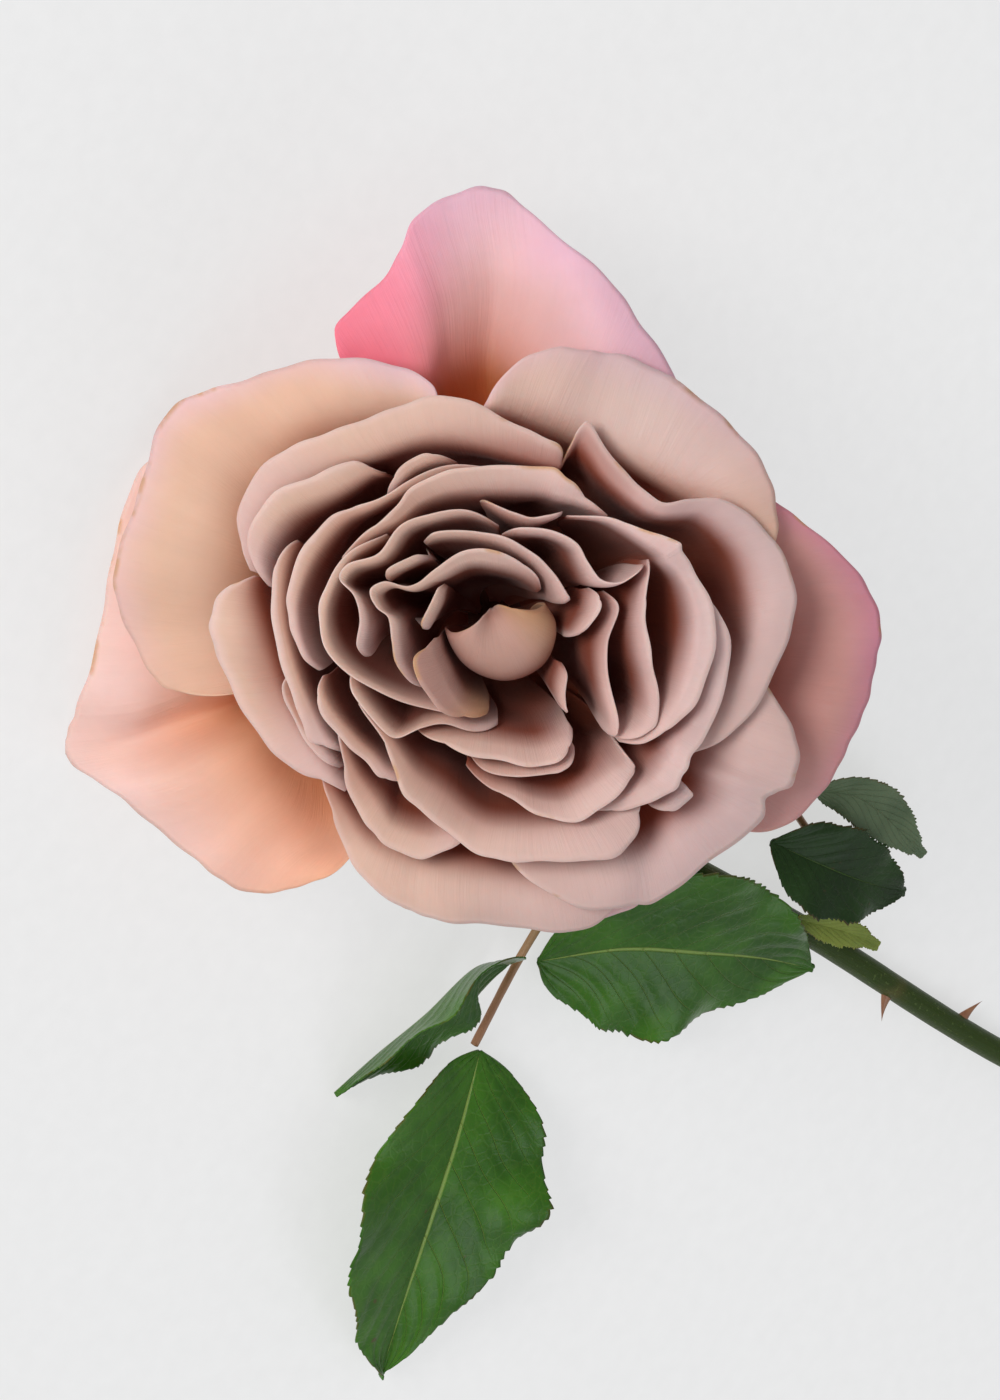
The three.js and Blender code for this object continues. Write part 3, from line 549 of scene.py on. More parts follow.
def soft_warp(points):
    """A gentle shift of every point, the same for all petals, that dies away at the seat."""
    random = np.random.default_rng(WARP_SEED)
    shift = np.zeros_like(points)
    for _ in range(WARP_WAVES):
        length = random.uniform(*WARP_LENGTHS)
        direction = random.normal(size=3)
        direction *= 2 * math.pi / length / np.linalg.norm(direction)
        push = random.normal(size=3)
        push *= WARP_PUSH * length / np.linalg.norm(push)
        shift += np.sin(points @ direction + random.uniform(0, 2 * math.pi))[..., None] * push
    radius = np.hypot(points[..., 0], points[..., 1])
    strength = np.clip(points[..., 2] / WARP_HEIGHT, 0, 1) * np.clip(radius / WARP_RADIUS, 0.3, 1.6)
    return points + shift * strength[..., None]


def wave(u, seed, *lengths):
    """A smooth wiggle between about -1 and 1 along u."""
    random = np.random.default_rng(seed)
    waves = [np.sin(2 * math.pi * u / length + random.uniform(0, 6.3)) for length in lengths]
    return sum(waves) / len(lengths)


def smooth_piece(name, vertices, faces, uvs=None, material=None):
    """A smooth object in the scene. Its UV map has one place for each corner of each face."""
    mesh = bpy.data.meshes.new(name)
    mesh.from_pydata(vertices, [], faces)
    if uvs is not None:
        layer = mesh.uv_layers.new(name="sheet")
        layer.data.foreach_set("uv", np.array(uvs, np.float32).ravel())
    mesh.shade_smooth()
    if material:
        mesh.materials.append(material)
    piece = bpy.data.objects.new(name, mesh)
    scene.collection.objects.link(piece)
    return piece


def sheet_mesh(name, front, thickness, uv, material):
    """A closed thin solid about a grid of points in metres, with its UV map."""
    rows, columns = front.shape[:2]
    over = np.gradient(front, axis=1)
    up = np.gradient(front, axis=0)
    normal = np.cross(over, up)
    normal /= np.linalg.norm(normal, axis=-1, keepdims=True) + 1e-12
    half = normal * thickness[..., None] / 2
    vertices = np.concatenate([(front + half).reshape(-1, 3), (front - half).reshape(-1, 3)])
    count = rows * columns
    corner = (np.arange(rows - 1)[:, None] * columns + np.arange(columns - 1)[None]).ravel()
    faces = [np.stack([corner, corner + 1, corner + 1 + columns, corner + columns], 1)]
    faces.append(np.stack([corner, corner + columns, corner + 1 + columns, corner + 1], 1) + count)
    ring = np.concatenate([
        np.arange(columns - 1),
        np.arange(rows - 1) * columns + columns - 1,
        (rows - 1) * columns + np.arange(columns - 1, 0, -1),
        np.arange(rows - 1, 0, -1) * columns,
    ])
    following = np.roll(ring, -1)
    faces.append(np.stack([following, ring, ring + count, following + count], 1))
    faces = np.concatenate(faces)
    corner_uvs = np.concatenate([uv.reshape(-1, 2)] * 2)[faces.ravel()]
    return smooth_piece(name, vertices.tolist(), faces.tolist(), corner_uvs, material)


PETAL_COLUMNS = 140
PETAL_ROWS = 64
ROW_CROWDING = 0.85  # below 1 sets the rows closer together towards the rim
RIM_LIP = 0.3  # how far the last of the rim turns outward
RIM_DROP = 0.35  # and how far it drops
RIM_LIP_START = 0.9  # share of the way up at which the lip starts
RAGGED = 0.012  # how much the rim's outline wavers, as a share of the petal's length
RAGGED_WAVES = (23, 13, 5.3)
RIPPLE = 0.8  # height of the slow waves of the rim
RIPPLE_WAVES = (38, 24, 13)
CLAW_THICKNESS = 0.16  # of a petal's foot
PETAL_THICKENING = 0.2  # and how much thicker the petal gets towards its rim
RIM_THINNING = 0.55  # share of its thickness that the rim loses past the share RIM_THIN_START
RIM_THIN_START = 0.95

for i, name in enumerate(PETAL_NAMES):
    points = PETALS[name]
    rows = np.linspace(0, 1, PETAL_ROWS) ** ROW_CROWDING
    across, along = np.meshgrid(np.linspace(-1, 1, PETAL_COLUMNS), rows)
    middle_x, middle_y, middle_roll = points[len(points) // 2]
    size = np.clip(np.hypot(middle_x, middle_y) / 40, 0.25, 1.2)
    rim_length = sum(math.dist(a[:2], b[:2]) for a, b in zip(points, points[1:]))
    arc = across * rim_length / 2
    ragged = 1 - RAGGED * (0.5 + 0.5 * wave(arc, i, *RAGGED_WAVES)) * along**6
    sheet = petal_points(points, petal_rank(i), across, along * ragged)
    outward = sheet[..., :2] / (np.hypot(sheet[..., 0], sheet[..., 1])[..., None] + 1e-9)
    edge = np.clip((along - RIM_LIP_START) / (1 - RIM_LIP_START), 0, 1) ** 2
    curl = 1 if middle_roll >= 0 else -1
    sheet[..., :2] += outward * (RIM_LIP * edge * curl)[..., None]
    ripple = wave(arc, 100 + i, *RIPPLE_WAVES) * along**5 * RIPPLE * size
    sheet[..., 2] += ripple - RIM_DROP * edge
    front = soft_warp(sheet) @ AXES.T * MM + SEAT
    thinning = RIM_THINNING * np.clip((along - RIM_THIN_START) / (1 - RIM_THIN_START), 0, 1)
    thickness = (CLAW_THICKNESS + PETAL_THICKENING * along) * (1 - thinning) * MM
    uv = np.stack([across, along], -1)
    material = PETAL_FINISH.get(name, DUSTY)
    petal = sheet_mesh(f"{name}_soft", front, thickness, uv, material)
    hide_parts(name)
    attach(petal, "root")


# ---- Sepals --------------------------------------------------------------------------------
# Five narrow green blades that once closed the bud. They are folded back under the outermost
# petals, matt above, with a raised midrib and a pale downy edge.
SEPALS = 5
FIRST_SEPAL_TURN = 49
SEPAL_LENGTH = 22
SEPAL_WIDTH = 9
SEPAL_TIP_WIDTH = 0.6
SEPAL_DROP = 2.6  # how far under the seat a sepal starts
SEPAL_BEND = 6  # and how much further its tip hangs
SEPAL_OVERLAP = 0.9  # how far its foot reaches in under the petals
SEPAL_MIDRIB = 0.35

sepal_green = Finish("sepal_green", Roughness=0.6, Subsurface_Weight=0.1, Subsurface_Scale=0.002)
across, along = sepal_green.sheet_axes()
streak = sepal_green.noise(sepal_green.vector(across * 14, along * 2, 0.0), 1.0, 4.0)
down = sepal_green.noise(sepal_green.place(), 900, 2.0)
green = sepal_green.mix(streak, (0.13, 0.22, 0.05), (0.25, 0.34, 0.11))
green = sepal_green.mix(sepal_green.step(across * across, 0.6, 1.0), green, (0.42, 0.44, 0.24))
sepal_green.set(Base_Color=sepal_green.mix(sepal_green.step(along, 0.75, 1.0), green, (0.34, 0.2, 0.1)))
sepal_green.bump(streak + down * 0.4, 0.0003, 0.7)

across, along = np.meshgrid(np.linspace(-1, 1, 25), np.linspace(0, 1, 60))
for i in range(SEPALS):
    turn = math.radians(FIRST_SEPAL_TURN + 360 / SEPALS * i)
    reach = SEAT_OUTER - SEPAL_OVERLAP + along * SEPAL_LENGTH
    half = SEPAL_WIDTH / 2 * (1 - along) ** 0.7 + SEPAL_TIP_WIDTH / 2
    side = across * half * (1 + 0.05 * wave(along, i, 0.3, 0.2))
    midrib = SEPAL_MIDRIB * np.exp(-((across / 0.12) ** 2))
    rise = midrib - SEPAL_DROP - SEPAL_BEND * along**2 - 0.06 * side**2
    sheet = np.stack([
        reach * math.cos(turn) - side * math.sin(turn),
        reach * math.sin(turn) + side * math.cos(turn),
        rise,
    ], -1)
    thickness = (0.5 - 0.25 * np.abs(across)) * MM
    sepal = sheet_mesh(f"sepal_{i + 1}_soft", sheet @ AXES.T * MM + SEAT, thickness,
                       np.stack([across, along], -1), sepal_green.material)
    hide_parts(f"sepal_{i + 1}")
    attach(sepal, "root")


# ---- Stem ----------------------------------------------------------------------------------
# One waxy green shoot with its hip, a bent neck and hooked prickles. The hip swells under the
# seat, the neck bends down to the table, and the far end is cut straight across.
HIP_RADIUS = 6.2
HIP_LENGTH = 13
NECK_RADIUS = 1.9
STEM_RADIUS = 2.1
NECK_END = 60  # distance along the stem at which the neck starts to thicken
STEM_START = 120  # and at which it has become the stem
SEAT_DEPTH = 0.8  # from the innermost petals' feet down to the top of the stem
CONE_FOOT = 1.2  # how far under the seat the cone that bears the petals is at its widest
CONE_END = 3  # and how far under it that cone has become the hip
STEM_STEPS = 420
STEM_SIDES = 40
# The route runs over the table from under the seat, in millimetres.
STEM_ROUTE = [
    [15, 0, 8], [26, -5.5, 5.4], [40, -11.5, 4.6], [58, -16, 4.3], [110, -16, 4], [162, -17, 3.2],
    [226, -14, 2.1],
]
PRICKLE_LENGTH = 4.6
PRICKLE_FOOT = 0.2  # how deep each prickle is set into the bark
# Each prickle has its share of the way along the stem and its turn from upright, in degrees.
PRICKLES = [(0.35, -75), (0.612, 80), (0.69, -85), (0.76, 30), (0.83, 85), (0.9, -20)]

ground = SEAT / MM * np.array([1, 1, 0])
cone_top = SEAT_RISE - SEAT_DEPTH


def on_axis(z):
    """The place at height z on the bloom's axis, in millimetres."""
    return SEAT / MM + AXES[:, 2] * z


class Path:
    """A smooth curve through points, with its points and directions by share of its length."""

    def __init__(self, points, samples=4000):
        self.fine = smooth_curve(points, np.linspace(0, 1, samples))
        steps = np.linalg.norm(np.diff(self.fine, axis=0), axis=1)
        self.distance = np.concatenate([[0], np.cumsum(steps)])
        self.length = self.distance[-1]

    def at(self, share):
        share = np.asarray(share, float) * self.length
        return np.stack([np.interp(share, self.distance, self.fine[:, k]) for k in range(3)], -1)

    def along(self, share, probe=1e-3):
        share = np.asarray(share, float)
        ahead = self.at(np.minimum(1, share + probe)) - self.at(np.maximum(0, share - probe))
        return ahead / np.linalg.norm(ahead, axis=-1, keepdims=True)


def tube_mesh(name, path, radius, steps, sides, material):
    """A closed tube with level side directions. Its UV map runs around it and along it."""
    share = np.linspace(0, 1, steps)
    centre, along = path.at(share), path.along(share)
    side = np.cross(along, [0.05, 1, 0.02])
    side /= np.linalg.norm(side, axis=1, keepdims=True)
    other = np.cross(along, side)
    turn = np.linspace(0, 2 * math.pi, sides, endpoint=False)
    spokes = np.cos(turn)[None, :, None] * side[:, None] + np.sin(turn)[None, :, None] * other[:, None]
    rings = centre[:, None] + radius[:, :, None] * spokes
    vertices = np.concatenate([rings.reshape(-1, 3), centre[:1], centre[-1:]]) * MM
    faces, uvs = [], []
    for i in range(steps - 1):
        for k in range(sides):
            a, b = i * sides + k, i * sides + (k + 1) % sides
            faces.append((a, b, b + sides, a + sides))
            left, right = k / sides, (k + 1) / sides
            uvs += [(left, share[i]), (right, share[i]), (right, share[i + 1]), (left, share[i + 1])]
    first, last = len(vertices) - 2, len(vertices) - 1
    for k in range(sides):
        after = (k + 1) % sides
        faces.append((first, after, k))
        faces.append((last, (steps - 1) * sides + k, (steps - 1) * sides + after))
        uvs += [(0, 0)] * 3 + [(0, 1)] * 3
    return smooth_piece(name, vertices.tolist(), faces, uvs, material)


stem_green = Finish("stem_green", Roughness=0.42, Specular_IOR_Level=0.18, Subsurface_Weight=0.08,
                    Subsurface_Scale=0.002)
around, along = stem_green.sheet_axes()
place = stem_green.place()
fibre = stem_green.noise(stem_green.vector(around * 60, along * 24, 0.0), 1.0, 4.0, 0.6)
speckle = stem_green.noise(place, 1500, 2.0)
patch = stem_green.noise(place, 70, 3.0)
green = stem_green.mix(fibre, (0.016, 0.036, 0.002), (0.046, 0.078, 0.006))
green = stem_green.mix(stem_green.step(patch, 0.55, 0.8), green, (0.13, 0.10, 0.03))
green = stem_green.mix(stem_green.step(speckle, 0.62, 0.72) * 0.3, green, (0.20, 0.28, 0.08))
green = stem_green.mix(stem_green.step(along, 0.02, 0.035), (0.09, 0.02, 0.008), green)
stem_green.set(Base_Color=green, Roughness=0.36 + speckle * 0.2)
stem_green.bump(fibre + speckle * 0.3, 0.00025, 0.5)

prickle_red = Finish("prickle_red", Roughness=0.4, Coat_Weight=0.2)
grain = prickle_red.noise(prickle_red.place(), 800, 3.0)
prickle_red.set(Base_Color=prickle_red.mix(grain, (0.20, 0.06, 0.03), (0.42, 0.20, 0.09)))
prickle_red.bump(grain, 0.0002, 0.4)

hip_route = [on_axis(cone_top), on_axis(0), on_axis(-0.5 * HIP_LENGTH), on_axis(-HIP_LENGTH)]
stem_path = Path(hip_route + [np.array(p) + ground for p in STEM_ROUTE])
distance = np.linspace(0, stem_path.length, STEM_STEPS)
# The stem's radius at each distance from its top: the cone, the hip, the neck and the stem.
RADII = [
    (0, 0.4),
    (cone_top + CONE_FOOT, SEAT_OUTER - 1.2),
    (cone_top + CONE_END, SEAT_OUTER - 1.4),
    (cone_top + 0.5 * HIP_LENGTH, HIP_RADIUS),
    (cone_top + HIP_LENGTH, 1.25 * NECK_RADIUS),
    (cone_top + 1.6 * HIP_LENGTH, NECK_RADIUS),
    (NECK_END, NECK_RADIUS),
    (STEM_START, STEM_RADIUS),
]
stem_radius = np.interp(distance, *np.array(RADII).T)
smooth = np.convolve(np.pad(stem_radius, 6, mode="edge"), np.ones(13) / 13, "valid")
stem_radius = np.where(distance > cone_top + CONE_END, smooth, stem_radius)
turn = np.linspace(0, 2 * math.pi, STEM_SIDES, endpoint=False)
swell = 1 + 0.012 * np.sin(5 * turn)[None] + 0.01 * wave(distance, 8, 31, 17, 9)[:, None]
rough_radius = stem_radius[:, None] * swell
stem = tube_mesh("stem_shoot", stem_path, rough_radius, STEM_STEPS, STEM_SIDES, stem_green.material)


def prickle_seed():
    """A hooked prickle, one unit long: an oval foot that narrows to a point and leans over."""
    rings, sides = 12, 16
    vertices, faces = [], []
    for j in range(rings):
        t = j / (rings - 1)
        width = (1 - t) ** 1.25 * 0.31 + 0.004
        for k in range(sides):
            a = 2 * math.pi * k / sides
            vertices.append((math.cos(a) * width + 0.38 * t**1.6, math.sin(a) * width * 0.5, t - 0.1))
    for j in range(rings - 1):
        for k in range(sides):
            a, b = j * sides + k, j * sides + (k + 1) % sides
            faces.append((a, b, b + sides, a + sides))
    faces.append(tuple(range(sides))[::-1])
    faces.append(tuple((rings - 1) * sides + k for k in range(sides)))
    return smooth_piece("prickle_seed", vertices, faces)


def prickle_tree(seed, material):
    """Sets one prickle on each point, stood up along the point's own normal."""
    tree = bpy.data.node_groups.new("prickles", "GeometryNodeTree")
    tree.interface.new_socket("Geometry", in_out="INPUT", socket_type="NodeSocketGeometry")
    tree.interface.new_socket("Prickle length", in_out="INPUT", socket_type="NodeSocketFloat")
    tree.interface.new_socket("Geometry", in_out="OUTPUT", socket_type="NodeSocketGeometry")
    start, end = tree.nodes.new("NodeGroupInput"), tree.nodes.new("NodeGroupOutput")
    info = tree.nodes.new("GeometryNodeObjectInfo")
    info.inputs["Object"].default_value = seed
    lean, face = (tree.nodes.new("GeometryNodeInputNamedAttribute") for _ in range(2))
    for named, attribute in ((lean, "outward"), (face, "forward")):
        named.data_type = "FLOAT_VECTOR"
        named.inputs["Name"].default_value = attribute
    rise = tree.nodes.new("FunctionNodeAlignRotationToVector")
    rise.axis = "Z"
    turn_to = tree.nodes.new("FunctionNodeAlignRotationToVector")
    turn_to.axis, turn_to.pivot_axis = "X", "Z"
    instance = tree.nodes.new("GeometryNodeInstanceOnPoints")
    scale = tree.nodes.new("ShaderNodeCombineXYZ")
    realize = tree.nodes.new("GeometryNodeRealizeInstances")
    paint = tree.nodes.new("GeometryNodeSetMaterial")
    paint.inputs["Material"].default_value = material
    link = tree.links.new
    link(start.outputs["Geometry"], instance.inputs["Points"])
    link(info.outputs["Geometry"], instance.inputs["Instance"])
    link(lean.outputs["Attribute"], rise.inputs["Vector"])
    link(rise.outputs["Rotation"], turn_to.inputs["Rotation"])
    link(face.outputs["Attribute"], turn_to.inputs["Vector"])
    link(turn_to.outputs["Rotation"], instance.inputs["Rotation"])
    for axis in "XYZ":
        link(start.outputs["Prickle length"], scale.inputs[axis])
    link(scale.outputs["Vector"], instance.inputs["Scale"])
    link(instance.outputs["Instances"], realize.inputs["Geometry"])
    link(realize.outputs["Geometry"], paint.inputs["Geometry"])
    link(paint.outputs["Geometry"], end.inputs["Geometry"])
    return tree


def baked(piece, name):
    """A plain mesh of what a piece's modifiers make."""
    bpy.context.view_layer.update()
    evaluated = piece.evaluated_get(bpy.context.evaluated_depsgraph_get())
    mesh = bpy.data.meshes.new_from_object(evaluated)
    mesh.name = name
    made = bpy.data.objects.new(name, mesh)
    scene.collection.objects.link(made)
    bpy.data.objects.remove(piece)
    return made


feet, outward_dirs, forward_dirs = [], [], []
for share, degrees in PRICKLES:
    along_dir = Vector(stem_path.along(share))
    outward = (Vector((0, 0, 1)) - along_dir * along_dir.z).normalized()
    outward = Matrix.Rotation(math.radians(degrees), 3, along_dir) @ outward
    feet.append((Vector(stem_path.at(share)) + outward * (STEM_RADIUS - PRICKLE_FOOT)) * MM)
    outward_dirs += outward[:]
    forward_dirs += along_dir[:]
points = bpy.data.meshes.new("prickle_points")
points.from_pydata(feet, [], [])
for label, values in (("outward", outward_dirs), ("forward", forward_dirs)):
    points.attributes.new(label, "FLOAT_VECTOR", "POINT").data.foreach_set("vector", values)
prickle_points = bpy.data.objects.new("prickle_points", points)
scene.collection.objects.link(prickle_points)
seed = prickle_seed()
modifier = prickle_points.modifiers.new("prickles", "NODES")
modifier.node_group = prickle_tree(seed, prickle_red.material)
for item in modifier.node_group.interface.items_tree:
    if item.name == "Prickle length":
        modifier[item.identifier] = PRICKLE_LENGTH * 0.95 * MM
prickles = baked(prickle_points, "stem_prickles")
bpy.data.objects.remove(seed)
for piece in (stem, prickles):
    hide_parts("stem")
    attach(piece, "root")


# ---- Leaves --------------------------------------------------------------------------------
# Two compound leaves. A leaflet is a glossy toothed blade, quilted between the side veins that
# leave its midrib, and it hangs on a stalk that turns from green to red-brown.
RACHIS_RADIUS = 0.65
RACHIS_STEPS = 120
BLADE_THICKNESS = 0.5
BLADE_THINNING = 0.28  # how much thinner a blade is at its edge
LEAST_WIDTH = 0.9  # half the width of a blade at its tip and foot
SIDE_VEINS = 9
VEIN_SWEEP = 3.2  # how many veins further up the blade each side vein reaches its edge
QUILTING = 0.012  # height of the swelling between veins, as a share of the blade's half width
WAVING = 0.08  # and of the slow waves of its edge
TEETH = 30
# Each leaflet has half its width, how far its two halves fold up and how far it tilts, in degrees,
# and its midrib from foot to tip, over the table from under the seat, in millimetres.
LEAFLETS = {
    "leaf_1_terminal": {
        "half": 19, "fold": 12, "tilt": -4,
        "midrib": [[60.5, -57, 4.2], [63.5, -70, 6.5], [67.5, -84, 7], [73, -97, 5.4], [79.5, -108.5, 2.5]],
    },
    "leaf_1_left": {
        "half": 10, "fold": 24, "tilt": -36,
        "midrib": [[55.5, -43, 5], [49, -46, 6.5], [45.5, -56, 6], [43, -65, 4], [42, -73, 1.5]],
    },
    "leaf_1_right": {
        "half": 16, "fold": 6, "tilt": 16,
        "midrib": [[59.5, -40.5, 6], [71, -32.5, 8.6], [85, -27, 9.6], [99, -23, 8], [112, -20.5, 6]],
    },
    "leaf_2_dark": {
        "half": 7.8, "fold": 16, "tilt": 0,
        "midrib": [[86, -6.8, 9.4], [95, -6, 10.6], [105, -5, 10], [114, -3.8, 8], [121, -2.6, 6]],
    },
    "leaf_2_pale": {
        "half": 4.2, "fold": 14, "tilt": 8,
        "midrib": [[90.5, 3.5, 7.5], [97, 6, 8.5], [105, 6, 8], [113, 5, 7], [121, 4, 5.5]],
    },
    "leaf_2_terminal": {
        "half": 11, "fold": 14, "tilt": 0,
        "midrib": [[87, -0.3, 7], [79, 4, 8], [70, 8, 7], [61, 13, 4], [54, 19, 1]],
    },
    "leaf_2_stipule": {
        "half": 2.4, "fold": 20, "tilt": 0,
        "midrib": [[102, -15, 7.4], [108, -13.6, 8.2], [114, -12.6, 8.2], [121, -12.2, 7.2]],
    },
}
RACHISES = {
    "leaf_1_rachis": [[57, -19.6, 5.2], [56.5, -30, 5.6], [57.2, -42, 4.8], [60.3, -56.6, 2.8]],
    "leaf_2_rachis": [[121, -12.9, 4.6], [111, -9.5, 6], [100, -4.2, 6.2], [89, -0.5, 6.4]],
}


def leaf_finish(name, dark, light, vein, gloss):
    """Glossy blade: a pale midrib, faint side veins, cloudy greens and a few brown spots."""
    finish = Finish(name, Coat_Roughness=0.2, Coat_Weight=0.08, Specular_IOR_Level=0.22,
                    Subsurface_Weight=0.05, Subsurface_Scale=0.001)
    across, along = finish.sheet_axes()
    place = finish.place()
    wide = across.math("ABSOLUTE")
    phase = along * SIDE_VEINS - wide * VEIN_SWEEP + finish.noise(place, 60, 1.0) * 0.5
    ridge = (phase.math("FRACT") - 0.5).math("ABSOLUTE") * 2
    side_vein = finish.step(ridge, 0.93, 1.0) * finish.step(1 - wide, 0.02, 0.5)
    midrib = 1 - finish.step(wide, 0.01, 0.035)
    cells = {"Vector": place, "Scale": 520.0}
    net = finish.node("ShaderNodeTexVoronoi", cells, feature="DISTANCE_TO_EDGE")
    net_line = 1 - finish.step(net, 0.02, 0.12)
    cloud = finish.noise(place, 90, 3.0)
    speck = finish.noise(place, 1400, 2.0)
    green = finish.mix(finish.step(cloud, 0.3, 0.7), dark, light)
    green = finish.mix(net_line * 0.05, green, vein)
    green = finish.mix((side_vein * 0.3 + midrib * 0.85).math("MINIMUM", 1.0), green, vein)
    rim = finish.step(wide, 0.97, 1.0) * finish.step(finish.noise(place, 160, 2.0), 0.45, 0.6)
    green = finish.mix(rim * 0.6, green, (0.12, 0.07, 0.02))
    spot = finish.step(finish.noise(place, 260, 2.0), 0.72, 0.78)
    green = finish.mix(spot * 0.7, green, (0.09, 0.05, 0.015))
    finish.set(Base_Color=green, Roughness=gloss + speck * 0.12 + cloud * 0.14)
    height = side_vein * -0.5 - midrib * 0.6 - net_line * 0.05 + speck * 0.1 + cloud * 0.8
    finish.bump(height, 0.0006, 0.7)
    return finish.material


LEAF_DARK = leaf_finish(
    "leaf_green", dark=(0.024, 0.095, 0.004), light=(0.050, 0.170, 0.008), vein=(0.26, 0.38, 0.08),
    gloss=0.22,
)
# A darker, duller copy of the leaf green for the leaflet that lies in the bloom's shadow: painted shade.
LEAF_SHADED = leaf_finish(
    "leaf_green_shaded", dark=(0.007, 0.030, 0.001), light=(0.014, 0.055, 0.002), vein=(0.06, 0.12, 0.02),
    gloss=0.4,
)
LEAF_PALE = leaf_finish(
    "leaf_underside", dark=(0.09, 0.14, 0.07), light=(0.15, 0.21, 0.11), vein=(0.26, 0.32, 0.17), gloss=0.5,
)
STIPULE = leaf_finish(
    "stipule_green", dark=(0.20, 0.26, 0.04), light=(0.34, 0.40, 0.08), vein=(0.46, 0.50, 0.16), gloss=0.5,
)
BLADE_FINISH = {"leaf_2_dark": LEAF_SHADED, "leaf_2_pale": LEAF_PALE, "leaf_2_stipule": STIPULE}


def blade_width(along):
    """A blade's width along its midrib, over its greatest: wide below the middle, pointed above."""
    return np.sin(math.pi * along**0.72) ** 0.85


BLADE_COLUMNS = 61
BLADE_ROWS = 240
across, along = np.meshgrid(np.linspace(-1, 1, BLADE_COLUMNS), np.linspace(0, 1, BLADE_ROWS))
for i, (name, leaflet) in enumerate(LEAFLETS.items()):
    half, fold, tilt = leaflet["half"], math.radians(leaflet["fold"]), math.radians(leaflet["tilt"])
    path = Path([np.array(p) + ground for p in leaflet["midrib"]])
    share = np.linspace(0, 1, BLADE_ROWS)
    spine, forward = path.at(share), path.along(share)
    sideways = np.cross([0, 0, 1], forward)
    sideways /= np.linalg.norm(sideways, axis=1, keepdims=True)
    upright = np.cross(forward, sideways)
    sideways, upright = (
        sideways * math.cos(tilt) + upright * math.sin(tilt),
        upright * math.cos(tilt) - sideways * math.sin(tilt),
    )
    wide = np.abs(across)
    width = half * blade_width(share) * (1 + 0.05 * wave(share, 20 + i, 0.5, 0.23))
    width = np.maximum(LEAST_WIDTH, width)
    teeth = (share * TEETH + 0.5 * wave(share, i, 0.3, 0.13)) % 1
    tooth_size = (0.4 + 0.012 * half) * np.sin(math.pi * share) ** 0.5
    tooth = tooth_size * teeth * (1 + 0.5 * wave(share, 60 + i, 0.21, 0.09))
    reach = across * (width - 0.02 * half)[:, None] + np.sign(across) * wide**10 * tooth[:, None]
    swelling = np.abs(np.sin(math.pi * (along * SIDE_VEINS - wide * VEIN_SWEEP)))
    quilt = swelling * QUILTING * half * np.sin(math.pi * np.clip(wide, 0, 1)) ** 0.7
    slow_wave = wave(along + 0.3 * np.sign(across), 40 + i, 0.45, 0.28)
    wavy = WAVING * half * slow_wave * wide**2.5
    lift = np.abs(reach) * math.sin(fold) + quilt + wavy
    sheet = spine[:, None] + sideways[:, None] * (reach * math.cos(fold))[..., None]
    sheet = sheet + upright[:, None] * lift[..., None]
    thickness = (BLADE_THICKNESS - BLADE_THINNING * wide**3) * MM
    material = BLADE_FINISH.get(name, LEAF_DARK)
    blade = sheet_mesh(f"{name}_blade", sheet * MM, thickness, np.stack([across, along], -1), material)
    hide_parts(name)
    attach(blade, "root")

rachis_brown = Finish("rachis_brown", Roughness=0.45)
around, along = rachis_brown.sheet_axes()
grain = rachis_brown.noise(rachis_brown.vector(around * 8, along * 30, 0.0), 1.0, 3.0)
tone = rachis_brown.mix(grain, (0.20, 0.19, 0.05), (0.33, 0.20, 0.08))
rachis_brown.set(Base_Color=rachis_brown.mix(rachis_brown.step(along, 0.1, 0.9), tone, (0.36, 0.17, 0.08)))
rachis_brown.bump(grain, 0.0002, 0.5)
for name, points in RACHISES.items():
    path = Path([np.array(p) + ground for p in points])
    groove = 1 - 0.16 * np.exp(-((turn - math.pi / 2) ** 2) / 0.3)
    uneven = 1 + 0.03 * wave(np.linspace(0, 1, RACHIS_STEPS), 3, 0.3, 0.12)
    radius = RACHIS_RADIUS * groove[None] * uneven[:, None]
    rachis = tube_mesh(f"{name}_stalk", path, radius, RACHIS_STEPS, STEM_SIDES, rachis_brown.material)
    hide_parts(name)
    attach(rachis, "root")


# ---- Table, light and camera ------------------------------------------------------------------
# The flower lies on a plain pale table under broad soft light from the left of the bloom's face.
glowing_paper = Finish("table_paper_glowing", Roughness=0.9, Specular_IOR_Level=0.1, Emission_Strength=1.0)
fibre = glowing_paper.noise(glowing_paper.place(), 300, 4.0)
glowing_paper.set(Base_Color=glowing_paper.mix(fibre, (0.30, 0.30, 0.30), (0.33, 0.33, 0.33)))
# Painted light: the table glows with its own light, which washes out the shadows cast on it and lights the
# flower faintly from below.
glowing_paper.set(Emission_Color=glowing_paper.mix(fibre, (0.58, 0.58, 0.58), (0.60, 0.60, 0.60)))
glowing_paper.bump(fibre, 0.0002, 0.1)
TABLE = 4  # metres from its middle to each edge
corners = [(-TABLE, -TABLE, 0), (TABLE, -TABLE, 0), (TABLE, TABLE, 0), (-TABLE, TABLE, 0)]
table = smooth_piece("table_top", corners, [(0, 1, 2, 3)], material=glowing_paper.material)

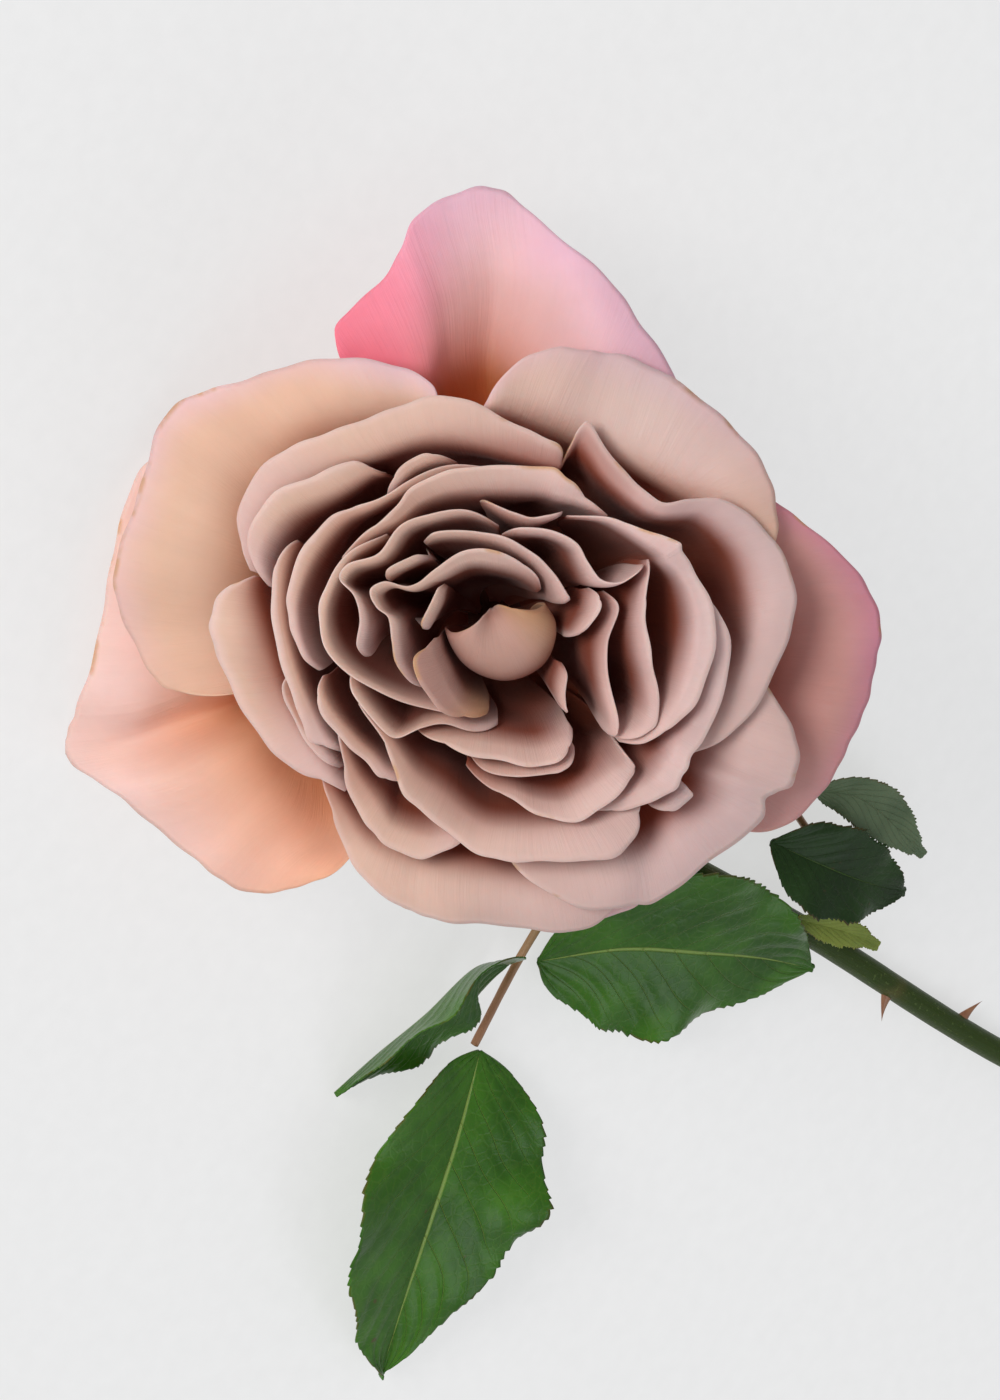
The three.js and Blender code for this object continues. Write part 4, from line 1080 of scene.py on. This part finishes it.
world = bpy.data.worlds.new("studio")
scene.world = world
world.use_nodes = True
room = world.node_tree.nodes["Background"]
room.inputs["Color"].default_value = (0.95, 0.97, 1.0, 1)
room.inputs["Strength"].default_value = 0.36

HEART = 35  # height above the seat that the lights and the camera aim at
heart = Vector(on_axis(HEART)) * MM


def softbox(name, place, size, watts, color=(1, 1, 1)):
    """A round soft light at a place in metres from the heart of the bloom, turned towards it."""
    light = bpy.data.lights.new(name, "AREA")
    light.energy, light.color, light.shape, light.size = watts, color, "DISK", size
    lamp = bpy.data.objects.new(name, light)
    lamp.location = heart + Vector(place)
    lamp.rotation_euler = (heart - lamp.location).to_track_quat("-Z", "Y").to_euler()
    scene.collection.objects.link(lamp)


softbox("window", (-1.3, -0.15, 0.55), 0.6, 13, (1, 0.985, 0.96))
softbox("fill", (-0.3, -0.6, 1.3), 1.2, 2)
softbox("sky", (0.9, -0.35, 0.95), 0.7, 2.5, (0.9, 0.95, 1))

CAMERA_ELEVATION = 48
CAMERA_ROLL = 121
CAMERA_DISTANCE = 0.709
LENS = 135
SENSOR = 36
FRAME_SHIFT = Vector((0.675, 6.75, 0)) * MM  # how far the heart lies from the middle of the view

tip = math.radians(CAMERA_ELEVATION)
level_right, upward = Vector((0, -1, 0)), Vector((math.sin(tip), 0, math.cos(tip)))
back = Vector((-math.cos(tip), 0, math.sin(tip)))
roll = math.radians(CAMERA_ROLL)
rolled_right = level_right * math.cos(roll) + upward * math.sin(roll)
rolled_up = upward * math.cos(roll) - level_right * math.sin(roll)
lens = bpy.data.cameras.new("camera")
lens.lens, lens.sensor_width, lens.sensor_fit = LENS, SENSOR, "AUTO"
lens.clip_end = 20
camera = bpy.data.objects.new("camera", lens)
camera.matrix_world = Matrix.Translation(
    heart + back * CAMERA_DISTANCE - rolled_right * FRAME_SHIFT.x - rolled_up * FRAME_SHIFT.y
) @ Matrix([rolled_right, rolled_up, back]).transposed().to_4x4()
scene.collection.objects.link(camera)
scene.camera = camera
scene.view_settings.view_transform = "Standard"
